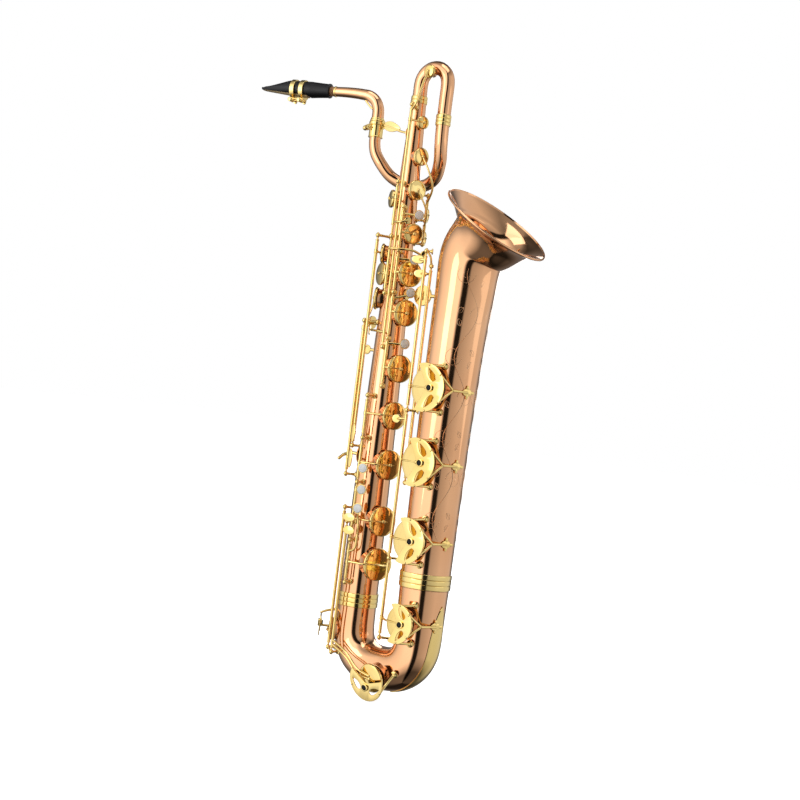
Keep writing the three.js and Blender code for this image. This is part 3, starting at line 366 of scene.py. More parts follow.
def new_group(name: str, inputs: dict[str, float], outputs: Sequence[str]) -> tuple:
    """A shader node group whose inputs and outputs are numbers.

    Args:
        name: The group's name.
        inputs: Each input's name and default.
        outputs: Each output's name.

    Returns:
        The group, its input node and its output node.
    """
    group = bpy.data.node_groups.new(name, "ShaderNodeTree")
    for label, value in inputs.items():
        socket = group.interface.new_socket(label, in_out="INPUT", socket_type="NodeSocketFloat")
        socket.default_value = value
    for label in outputs:
        group.interface.new_socket(label, in_out="OUTPUT", socket_type="NodeSocketFloat")
    return group, group.nodes.new("NodeGroupInput"), group.nodes.new("NodeGroupOutput")


def add_node(tree: bpy.types.NodeTree, kind: str, **settings: object) -> bpy.types.Node:
    """A new node with some of its settings and input values given by name."""
    node = tree.nodes.new(kind)
    for label, value in settings.items():
        if hasattr(node, label):
            setattr(node, label, value)
        else:
            node.inputs[label.replace("_", " ")].default_value = value
    return node


def join(source: bpy.types.Node, output: int | str, target: bpy.types.Node, slot: int | str) -> None:
    """Links an output of one node to an input of another in the same tree."""
    source.id_data.links.new(source.outputs[output], target.inputs[slot])


def two_tones(tree: bpy.types.NodeTree, socket: bpy.types.NodeSocket, spread: float,
              low: tuple[float, float, float], high: tuple[float, float, float]) -> None:
    """Colours the shader from low to high as a socket's value passes its middle."""
    ramp = add_node(tree, "ShaderNodeValToRGB")
    for element, place, colour in zip(ramp.color_ramp.elements, (0.5 - spread, 0.5 + spread), (low, high)):
        element.position = place
        element.color = (*colour, 1)
    tree.links.new(socket, ramp.inputs["Fac"])
    join(ramp, "Color", tree.nodes["Principled BSDF"], "Base Color")


def lacquer_group() -> bpy.types.NodeTree:
    """Lacquer's fine wipe marks, smudges and soft waviness."""
    group, start, end = new_group(
        "lacquer_marks", {"Scale": 40.0, "Smudge": 0.5, "Wave": 0.5},
        ["Smudges", "Height", "Tone"])
    place = add_node(group, "ShaderNodeTexCoord")
    smudge = add_node(group, "ShaderNodeTexNoise", Detail=5.0, Roughness=0.62, Distortion=0.6)
    join(place, "Object", smudge, "Vector")
    join(start, "Scale", smudge, "Scale")
    amount = add_node(group, "ShaderNodeMath", operation="MULTIPLY")
    join(smudge, "Fac", amount, 0)
    join(start, "Smudge", amount, 1)
    join(amount, 0, end, "Smudges")
    stretch = add_node(group, "ShaderNodeMapping", Scale=(6.0, 6.0, 0.7))
    join(place, "Object", stretch, "Vector")
    wave = add_node(group, "ShaderNodeTexNoise", Scale=5.0, Detail=2.0)
    join(stretch, "Vector", wave, "Vector")
    lift = add_node(group, "ShaderNodeMath", operation="MULTIPLY")
    join(wave, "Fac", lift, 0)
    join(start, "Wave", lift, 1)
    join(lift, 0, end, "Height")
    tone = add_node(group, "ShaderNodeTexNoise", Scale=9.0, Detail=3.0)
    join(place, "Object", tone, "Vector")
    join(tone, "Fac", end, "Tone")
    return group


def grain_group() -> bpy.types.NodeTree:
    """Fine grain and pits for cork, cane, leather, felt and hard rubber."""
    group, start, end = new_group(
        "fine_grain", {"Scale": 300.0, "Stretch": 1.0, "Contrast": 1.0}, ["Grain", "Pits"])
    place = add_node(group, "ShaderNodeTexCoord")
    shape = add_node(group, "ShaderNodeCombineXYZ", Y=1.0, Z=1.0)
    join(start, "Stretch", shape, "X")
    squeeze = add_node(group, "ShaderNodeVectorMath", operation="MULTIPLY")
    join(place, "Object", squeeze, 0)
    join(shape, "Vector", squeeze, 1)
    noise = add_node(group, "ShaderNodeTexNoise", Detail=6.0, Roughness=0.7)
    join(squeeze, "Vector", noise, "Vector")
    join(start, "Scale", noise, "Scale")
    push = add_node(group, "ShaderNodeMath", operation="MULTIPLY")
    join(noise, "Fac", push, 0)
    join(start, "Contrast", push, 1)
    join(push, 0, end, "Grain")
    cells = add_node(group, "ShaderNodeTexVoronoi")
    join(squeeze, "Vector", cells, "Vector")
    join(start, "Scale", cells, "Scale")
    join(cells, "Distance", end, "Pits")
    return group


@dataclass(frozen=True)
class Lacquer:
    """Polished metal under clear lacquer, in two close tones with wipe marks."""

    light: tuple[float, float, float]
    deep: tuple[float, float, float]
    rough: float = 0.07
    smudge: float = 0.1
    wave: float = 0.3
    bump: float = 0.02
    coat: float = 0.35
    coat_rough: float = 0.04

    def make(self, name: str, marks: bpy.types.NodeTree) -> bpy.types.Material:
        """The material, using the shared group of lacquer marks."""
        material = bpy.data.materials.new(name)
        material.use_nodes = True
        tree = material.node_tree
        shader = tree.nodes["Principled BSDF"]
        shader.inputs["Metallic"].default_value = 1.0
        shader.inputs["Coat Weight"].default_value = self.coat
        shader.inputs["Coat Roughness"].default_value = self.coat_rough
        group = add_node(tree, "ShaderNodeGroup", node_tree=marks)
        group.inputs["Smudge"].default_value = self.smudge
        group.inputs["Wave"].default_value = self.wave
        two_tones(tree, group.outputs["Tone"], 0.15, self.deep, self.light)
        rough = add_node(tree, "ShaderNodeMath", operation="ADD")
        rough.inputs[1].default_value = self.rough - self.smudge * 0.5
        join(group, "Smudges", rough, 0)
        join(rough, 0, shader, "Roughness")
        bump = add_node(tree, "ShaderNodeBump", Strength=self.bump, Distance=0.001)
        join(group, "Height", bump, "Height")
        join(bump, "Normal", shader, "Normal")
        return material


@dataclass(frozen=True)
class Grained:
    """A soft or dull stuff with grain: two tones, pits and a dull or satin surface."""

    light: tuple[float, float, float]
    dark: tuple[float, float, float]
    rough: float = 0.6
    scale: float = 300.0
    stretch: float = 1.0
    bump: float = 0.15
    coat: float = 0.0
    shine: float = 0.5

    def make(self, name: str, grain: bpy.types.NodeTree) -> bpy.types.Material:
        """The material, using the shared group of fine grain."""
        material = bpy.data.materials.new(name)
        material.use_nodes = True
        tree = material.node_tree
        shader = tree.nodes["Principled BSDF"]
        shader.inputs["Coat Weight"].default_value = self.coat
        shader.inputs["Specular IOR Level"].default_value = self.shine
        group = add_node(tree, "ShaderNodeGroup", node_tree=grain)
        group.inputs["Scale"].default_value = self.scale
        group.inputs["Stretch"].default_value = self.stretch
        two_tones(tree, group.outputs["Grain"], 0.12, self.dark, self.light)
        spread = add_node(tree, "ShaderNodeMapRange", To_Min=self.rough - 0.08, To_Max=self.rough + 0.1)
        join(group, "Grain", spread, "Value")
        join(spread, "Result", shader, "Roughness")
        bump = add_node(tree, "ShaderNodeBump", Strength=self.bump, Distance=0.0003)
        join(group, "Pits", bump, "Height")
        join(bump, "Normal", shader, "Normal")
        return material


LACQUERS = {
    Finish.BRONZE: Lacquer((0.86, 0.475, 0.25), (0.80, 0.415, 0.205), rough=0.085),
    Finish.GOLD: Lacquer((0.90, 0.68, 0.265), (0.83, 0.59, 0.195), rough=0.1),
    Finish.ENGRAVED: Lacquer((0.90, 0.58, 0.34), (0.84, 0.50, 0.28), rough=0.3),
    Finish.STEEL: Lacquer((0.50, 0.52, 0.58), (0.36, 0.40, 0.52), rough=0.2),
}
GRAINED = {
    Finish.RUBBER: Grained((0.009, 0.009, 0.01), (0.005, 0.005, 0.006), 0.3, 500, bump=0.02, shine=0.3),
    Finish.CORK: Grained((0.47, 0.25, 0.11), (0.20, 0.09, 0.04), 0.8, 700, bump=0.5),
    Finish.CANE: Grained((0.72, 0.56, 0.30), (0.52, 0.38, 0.18), 0.5, 500, 0.12, bump=0.2),
    Finish.LEATHER: Grained((0.15, 0.06, 0.028), (0.08, 0.03, 0.015), 0.55, 900, bump=0.4),
    Finish.FELT: Grained((0.014, 0.013, 0.013), (0.006, 0.006, 0.006), 0.85, 1500, bump=0.6),
    Finish.PEARL: Grained((0.95, 0.94, 0.90), (0.84, 0.85, 0.82), 0.22, 120, bump=0.03, coat=0.5),
    # painted shade inside the tone holes: a near-black brown for the disc under each chimney's rim
    Finish.PAINTED_SHADE: Grained((0.03, 0.014, 0.009), (0.015, 0.008, 0.005), 0.7, 400),
}


def make_materials() -> dict[Finish, bpy.types.Material]:
    """Every finish's material."""
    marks = lacquer_group()
    grain = grain_group()
    made = {finish: look.make(finish.value + "_look", marks) for finish, look in LACQUERS.items()}
    made |= {finish: look.make(finish.value + "_look", grain) for finish, look in GRAINED.items()}
    return made


MATERIALS = make_materials()


# ---- Tubes -----------------------------------------------------------------------------


@dataclass(frozen=True)
class ToneHole:
    """A tone hole's rim: its middle, the way it faces, and its key cup's radius."""

    seat: Vector
    axis: Vector
    r: float

    @property
    def top(self) -> Vector:
        """The middle of the closed cup's outside."""
        return self.seat + self.axis * (CUP_HEIGHT + 0.6)


@dataclass(frozen=True)
class HingeLine:
    """A hinge rod parallel to Z, whose posts stand on the tube at tube_x."""

    x: float
    y: float
    tube_x: float
    tube_r: Callable[[float], float]

    def at(self, z: float) -> Vector:
        """The rod's axis at a height."""
        return vec(self.x, self.y, z)


@dataclass(frozen=True)
class Bore:
    """The tapering body tube, the bottom bow and the bell as centre lines and radii."""

    body_bottom: float = 128.0
    body_top: float = 985.0
    body_radii: tuple[float, float, float] = (31.5, 25.0, 12.0)
    bell_x: float = 131.5
    bell_bottom: float = 180.0
    bell_r: float = 40.0
    throat_r: float = 55.5
    rim_r: float = 92.0
    rim_x: float = 186.0
    rim_z: float = 772.0
    rim_tilt: float = 35.0
    flare: float = 19.0
    bow_bottom: float = 38.0
    bow_centre: float = 98.0

    def body_r(self, z: float) -> float:
        """The body tube's outer radius at height z."""
        low, middle, high = self.body_radii
        u = 2 * (z - self.body_bottom) / (self.body_top - self.body_bottom)
        first = middle - low
        return low + u * first + u * (u - 1) * (high - middle - first) / 2

    def bow_line(self, count: int) -> list[Vector]:
        """Points along the bottom bow, from the body tube to the bell."""
        half = self.bell_x / 2
        depth = self.bow_centre - self.bow_bottom
        power = 2 / 2.3
        points = [vec(0, 0, self.body_bottom), vec(0, 0, (self.body_bottom + self.bow_centre) / 2)]
        for i in range(13):
            a = math.pi * i / 12
            c = math.copysign(abs(math.cos(a)) ** power, math.cos(a))
            s = abs(math.sin(a)) ** power
            points.append(vec(half - half * c, 0, self.bow_centre - depth * s))
        points += [vec(self.bell_x, 0, (self.bell_bottom + self.bow_centre) / 2),
                   vec(self.bell_x, 0, self.bell_bottom)]
        return flow(points, count)

    def bow_r(self, x: float) -> float:
        """The bow's radius below a place x along it."""
        return self.body_radii[0] + (self.bell_r - self.body_radii[0]) * x / self.bell_x

    def bow_z(self, x: float) -> float:
        """The height of the bow's centre line at x."""
        u = abs((x - self.bell_x / 2) / (self.bell_x / 2))
        return self.bow_centre - (self.bow_centre - self.bow_bottom) * (1 - u**2.3) ** (1 / 2.3)

    def bell_line(self, count: int) -> list[Vector]:
        """Points along the bell's centre line."""
        tilt = math.radians(self.rim_tilt)
        rim = vec(self.rim_x, 0, self.rim_z)
        back = vec(-math.sin(tilt), 0, -math.cos(tilt))
        rise = self.rim_z - self.bell_bottom
        return flow([
            vec(self.bell_x, 0, self.bell_bottom + GAP),
            vec(self.bell_x, 0, self.bell_bottom + 0.25 * rise),
            vec(self.bell_x + 2.5, 0, self.bell_bottom + 0.55 * rise),
            vec(self.bell_x + 8.5, 0, self.bell_bottom + 0.8 * rise),
            rim + back * 60 + vec(-4.5, 0, 0), rim + back * 24, rim], count)

    def bell_radius(self, t: float, length: float) -> float:
        """The bell's outer radius at a share t of its length."""
        cone = self.bell_r + 7 * t
        swell = (self.throat_r - self.bell_r - 7) * t**5
        return cone + swell + (self.rim_r - self.throat_r) * math.exp(-(1 - t) * length / self.flare)


BORE = Bore()
BELL_STEPS = 400
BELL_LINE = BORE.bell_line(BELL_STEPS)
BELL_LENGTH = sum((b - a).length for a, b in zip(BELL_LINE, BELL_LINE[1:]))


def bell_point(t: float) -> Vector:
    """The point at a share t of the bell's centre line, which runs on straight past its ends."""
    place = t * BELL_STEPS
    i = min(max(math.floor(place), 0), BELL_STEPS - 1)
    return BELL_LINE[i] + (BELL_LINE[i + 1] - BELL_LINE[i]) * (place - i)


def bell_at(z: float) -> tuple[float, float]:
    """The bell axis's x and the bell's radius at height z."""
    t = min(max((z - BORE.bell_bottom) / (BORE.rim_z - BORE.bell_bottom), 0), 1) * 0.97
    return BELL_LINE[round(t * BELL_STEPS)].x, BORE.bell_radius(t, BELL_LENGTH)


def body_hole(phi: float, z: float, r: float) -> ToneHole:
    """A tone hole on the body tube that faces angle phi."""
    return ToneHole(polar(phi, BORE.body_r(z) + CHIMNEY, z), polar(phi, 1, 0), r)


def bell_hole(z: float, r: float) -> ToneHole:
    """A tone hole on the bell tube that faces the player's right."""
    x, tube = bell_at(z)
    return ToneHole(vec(x, -(tube + CHIMNEY), z), vec(0, -1, 0), r)


HOLES = {
    "b": body_hole(-16, 684, 22), "a": body_hole(-16, 619, 22), "g": body_hole(-15, 527, 23),
    "f_sharp": body_hole(-14, 449, 23), "f": body_hole(-14, 368, 25),
    "e": body_hole(-14, 275, 25), "d": body_hole(-14, 204, 27), "c": body_hole(-20, 750, 17),
    "palm_d": body_hole(-18, 823, 17), "palm_e_flat": body_hole(-14, 879, 15),
    "octave": body_hole(-24, 935, 11), "g_sharp": body_hole(-120, 680, 19),
    "front_f": body_hole(-128, 806, 15), "side_b_flat": body_hole(-150, 640, 19),
    "side_c": body_hole(-150, 715, 17),
}
BELL_HOLES = {"b_flat": bell_hole(501, 29), "b": bell_hole(382, 29), "c_sharp": bell_hole(257, 29)}
LOW_C_X = 84.0
LOW_C_AXIS = vec(0, -math.cos(math.radians(15)), -math.sin(math.radians(15)))
BOW_HOLES = {
    "low_a": ToneHole(vec(BORE.bell_x, -(BORE.bell_r + CHIMNEY - 0.8), 125), vec(0, -1, 0), 23),
    "low_c": ToneHole(vec(LOW_C_X, 0, BORE.bow_z(LOW_C_X))
                      + LOW_C_AXIS * (BORE.bow_r(LOW_C_X) + CHIMNEY), LOW_C_AXIS, 24),
    "e_flat": ToneHole(polar(-142, BORE.body_radii[0] + CHIMNEY, 86), polar(-142, 1, 0), 20),
}
TOP_VENT = ToneHole(vec(29, -(BORE.body_radii[2] + 3.2), TOP_BOW_Z + 18), vec(0, -1, 0), 11)


def body_hinge(phi: float, rho: float) -> HingeLine:
    """A hinge line beside the body tube."""
    at = polar(phi, rho, 0)
    return HingeLine(at.x, at.y, 0, BORE.body_r)


def bell_tube_r(z: float) -> float:
    """The radius of the tube that the bell keys' posts stand on."""
    return BORE.bell_r if z < BORE.bell_bottom else bell_at(z)[1]


LOWER_STACK = body_hinge(-84, 47)
UPPER_STACK = body_hinge(-58, 38.5)
LEFT_LINE = body_hinge(-80, 39)
OCTAVE_LINE = body_hinge(-69, 37.5)
SIDE_LINE = body_hinge(-116, 45)
SIDE_LINE_2 = body_hinge(-128, 47)
PALM_LINE = body_hinge(42, 34)
LOW_C_LINE = body_hinge(-96, 48)
E_FLAT_LINE = body_hinge(-112, 46)
BELL_LINE_1 = HingeLine(82, -38, BORE.bell_x, bell_tube_r)
BELL_LINE_2 = HingeLine(87, -27, BORE.bell_x, bell_tube_r)


def chimney(skin: Skin, hole: ToneHole, deep: float) -> None:
    """A tone hole's chimney with a rolled rim, and a dark disc inside as painted shade for the hole's depth.
    """
    r = hole.r
    skin.turned([(r - 3, -deep), (r - 3, -1.4), (r - 2.7, -0.9), (r - 2.6, -0.45), (r - 3, -0.08),
                 (r - 3.6, 0), (r - 4.2, -0.15), (r - 4.4, -0.6), (r - 4.4, -3)],
                hole.seat, hole.axis, 48, finish=Finish.BRONZE)
    # a dark disc 3 mm below the rim: painted shade in place of the hole's shadowy inside
    skin.turned([(0, -3.1), (r - 4.4, -3)], hole.seat, hole.axis, 48, finish=Finish.PAINTED_SHADE)


@dataclass
class Tubes:
    """The soldered tubes: body, bottom bow, bell, upper bow and crook, with their bands."""

    wall: float = 1.2
    sides: int = 72
    crook_x: float = 55.0
    crook_r: float = 11.2
    behind: float = 38.0
    bow_steps: int = 110

    def body(self) -> None:
        """The body tube with the chimneys of its tone holes."""
        skin = Skin()
        heights = taper(BORE.body_bottom, BORE.body_top, 80)
        skin.sweep([vec(0, 0, z) for z in heights], [BORE.body_r(z) for z in heights],
                   Finish.BRONZE, self.sides)
        for hole in HOLES.values():
            chimney(skin, hole, hole.r * 0.4 + CHIMNEY)
        skin.place("body_tube_shell", "frame", "body_tube")

    def bow(self) -> None:
        """The bottom bow with the chimneys of its tone holes."""
        skin = Skin()
        radii = taper(BORE.body_radii[0], BORE.bell_r, self.bow_steps)
        skin.sweep(BORE.bow_line(self.bow_steps), radii, Finish.BRONZE, self.sides)
        for hole in BOW_HOLES.values():
            chimney(skin, hole, hole.r * 0.5 + CHIMNEY)
        skin.place("bottom_bow_shell", "frame", "bottom_bow")

    def bell(self) -> None:
        """The bell, inside and out, with a rolled rim."""
        skin = Skin()
        straight, half = 0.86, 90
        shares = [i / half * straight for i in range(half)]
        shares += [straight + (1 - straight) * (1 - (1 - i / half) ** 1.6) for i in range(half + 1)]
        outer = [(t, BORE.bell_radius(t, BELL_LENGTH)) for t in shares]
        roll = []
        for i in range(1, 16):
            a = math.pi * (i / 15) * 1.15 - math.pi * 0.55
            roll.append((math.sin(a) * 2.0, BORE.rim_r - 0.4 + math.cos(a) * 2.0))
        rings = [self._bell_ring(t, r, 0) for t, r in outer[:-2]]
        rings += [self._bell_ring(1, r, h) for h, r in roll]
        rings += [self._bell_ring(t, r - self.wall, 0) for t, r in reversed(outer[:-3])]
        skin.rings(rings, Finish.BRONZE, caps=False)
        for hole in BELL_HOLES.values():
            chimney(skin, hole, hole.r * 0.5 + CHIMNEY)
        skin.place("bell_shell", "frame", "bell")

    def _bell_ring(self, t: float, r: float, ahead: float) -> list[Vector]:
        """A ring about the bell's centre line at a share t, moved ahead along it."""
        step = 0.012
        along = (bell_point(t + step) - bell_point(t - step)).normalized()
        centre = bell_point(t) + along * ahead
        front = along.cross(vec(0, 1, 0))
        return [centre + (front * c + vec(0, 1, 0) * s) * r for c, s in circle(128)]

    def upper_bow(self) -> None:
        """The upper bow over the top, with the octave vent's chimney."""
        half = self.crook_x / 2
        points = [vec(0, 0, BORE.body_top)]
        for i in range(9):
            a = math.pi * i / 8
            points.append(vec(half - half * math.cos(a), 0, TOP_BOW_Z + half * math.sin(a)))
        points += [vec(self.crook_x, 0, TOP_BOW_Z - 25), vec(self.crook_x, 0, TOP_BOW_Z - 50)]
        steps = 80
        skin = Skin()
        radii = taper(BORE.body_radii[2], self.crook_r, steps)
        skin.sweep(flow(points, steps), radii, Finish.BRONZE, 56)
        chimney(skin, TOP_VENT, 8)
        skin.place("upper_bow_shell", "frame", "upper_bow")

    def crook_line(self, count: int) -> list[Vector]:
        """Points along the crook, which loops behind the body tube to the receiver."""
        x, back = self.crook_x, self.behind
        low = RECEIVER_Z - 100
        return flow([
            vec(x, 0, TOP_BOW_Z - 50), vec(x, 0, TOP_BOW_Z - 75), vec(x - 1, 3, low + 62),
            vec(x - 8, 15, low + 34), vec(x - 25, back - 9, low + 12), vec(0, back, low),
            vec(-30, back - 7, low), vec(-54, 19, low + 11), vec(-69, 7, low + 30),
            vec(RECEIVER_X + 4, 1, low + 49), vec(RECEIVER_X, 0, RECEIVER_Z - 34),
            vec(RECEIVER_X, 0, RECEIVER_Z - 18), vec(RECEIVER_X, 0, RECEIVER_Z)], count)

    def crook(self) -> None:
        """The crook."""
        steps = 120
        skin = Skin()
        skin.sweep(self.crook_line(steps), taper(self.crook_r, RECEIVER_R, steps), Finish.BRONZE, 56)
        skin.place("crook_shell", "frame", "crook")

    def _ridged(self, name: str, low: Vector, high: Vector, radii: tuple[float, float],
                ridges: int, height: float) -> None:
        """A band with raised ridges between grooves."""
        skin = Skin()
        n = ridges * 12
        centres, sizes = [], []
        for i in range(n + 1):
            u = i / n
            centres.append(low.lerp(high, u))
            bulge = abs(math.sin(math.pi * ridges * u)) ** 0.22
            sizes.append(radii[0] + (radii[1] - radii[0]) * u + GAP + height * (0.35 + 0.45 * bulge))
        skin.sweep(centres, sizes, Finish.GOLD, self.sides)
        skin.place(name + "_ring", "frame", name)

    def bands(self) -> None:
        """The four bands where tubes meet."""
        radius = BORE.body_r
        self._ridged("body_band", Z * 129, Z * 152, (radius(129), radius(152)), 3, 2.0)
        x, r = BORE.bell_x, BORE.bell_r
        self._ridged("bell_band", vec(x, 0, 181), vec(x, 0, 206), (r + 0.1, r + 0.5), 3, 2.0)
        self._ridged("upper_band", Z * 968, Z * 980.6, (radius(968), radius(980.6)), 2, 1.6)
        x = self.crook_x
        self._ridged("crook_band", vec(x, 0, 949), vec(x, 0, 931), (self.crook_r, self.crook_r), 3, 1.6)

    def bow_plate(self) -> None:
        """The leaf-shaped guard plate on the outside of the bottom bow's forward bend."""
        skin = Skin()
        line = BORE.bow_line(self.bow_steps)
        radii = taper(BORE.body_radii[0], BORE.bell_r, self.bow_steps)
        rings = []
        first, last, widest = 52, 102, 17
        for i in range(first, last + 1):
            u = (i - first) / (last - first)
            along = (line[i + 1] - line[i - 1]).normalized()
            out = vec(0, 1, 0).cross(along)
            r = radii[i]
            half = max(widest * math.sin(math.pi * u) ** 0.75, 0.05) / r
            ring = []
            for lift, order in ((1.5, range(-8, 9)), (0.2, range(8, -9, -1))):
                for k in order:
                    a = half * k / 8
                    edge = lift if abs(k) < 8 or lift < 1 else 0.9
                    ring.append(line[i] + (out * math.cos(a) + vec(0, 1, 0) * math.sin(a)) * (r + edge))
            rings.append(ring)
        skin.rings(rings, Finish.GOLD)
        skin.place("bow_plate_leaf", "frame", "bow_plate")

    def build(self) -> None:
        """Makes every tube and band."""
        self.body()
        self.bow()
        self.bell()
        self.upper_bow()
        self.crook()
        self.bands()
        self.bow_plate()


@dataclass
class Engraving:
    """Plain scroll work cut into the bell: a winding stem with curls and small leaves."""

    low: float = 262.0
    high: float = 720.0
    middle: float = -38.0
    swing: float = 17.0
    turns: float = 3.5
    line: float = 0.5

    def _on_bell(self, z: float, phi: float, side: int) -> Vector:
        """The point of the bell's surface at a height and angle; side mirrors it."""
        x, r = bell_at(z)
        a = math.radians(phi)
        r += 0.05
        return vec(x + r * math.cos(a), side * -r * math.sin(a), z)

    def _curl(self, skin: Skin, z: float, phi: float, hand: int, side: int) -> None:
        """One curl that winds in to its eye from the stem."""
        points = []
        for i in range(25):
            u = i / 24
            a = u * 3.3 * math.pi
            size = 17 * (1 - 0.82 * u)
            points.append(self._on_bell(z + size * math.sin(a) * hand,
                                        phi + hand * (20 - size * 1.15 * math.cos(a)), side))
        skin.wire(points, self.line, self.line * 0.6, 60, 6, finish=Finish.ENGRAVED)

    def _leaf(self, skin: Skin, z: float, phi: float, way: float, side: int) -> None:
        """One leaf's two edges and its vein."""
        for bow in (-1.0, 0.0, 1.0):
            points = []
            for i in range(9):
                u = i / 8
                wide = bow * 4.2 * math.sin(math.pi * u)
                points.append(self._on_bell(z + 13 * u * math.cos(way) + wide * math.sin(way),
                                            phi - 13 * u * math.sin(way) * 1.1 + wide * math.cos(way), side))
            skin.wire(points, self.line * 0.9, self.line * 0.5, 16, 6, finish=Finish.ENGRAVED)

    def build(self) -> None:
        """Cuts the same scroll on the player's right and, mirrored, on the left."""
        for side, name in ((1, "right"), (-1, "left")):
            skin = Skin()
            stem = []
            for i in range(61):
                u = i / 60
                stem.append(self._on_bell(self.low + (self.high - self.low) * u,
                                          self.middle - self.swing * math.sin(2 * math.pi * self.turns * u),
                                          side))
            skin.wire(stem, self.line * 1.2, self.line, 240, 6, finish=Finish.ENGRAVED)
            count = int(self.turns * 2)
            for k in range(count):
                u = (k + 0.5) / count
                hand = 1 if k % 2 else -1
                z = self.low + (self.high - self.low) * u
                self._curl(skin, z, self.middle, hand, side)
                for j, way in enumerate((0.5, 2.4)):
                    self._leaf(skin, z - 18 + 30 * j, self.middle - hand * 14, way * hand, side)
            skin.place(f"bell_engraving_{name}", "frame")


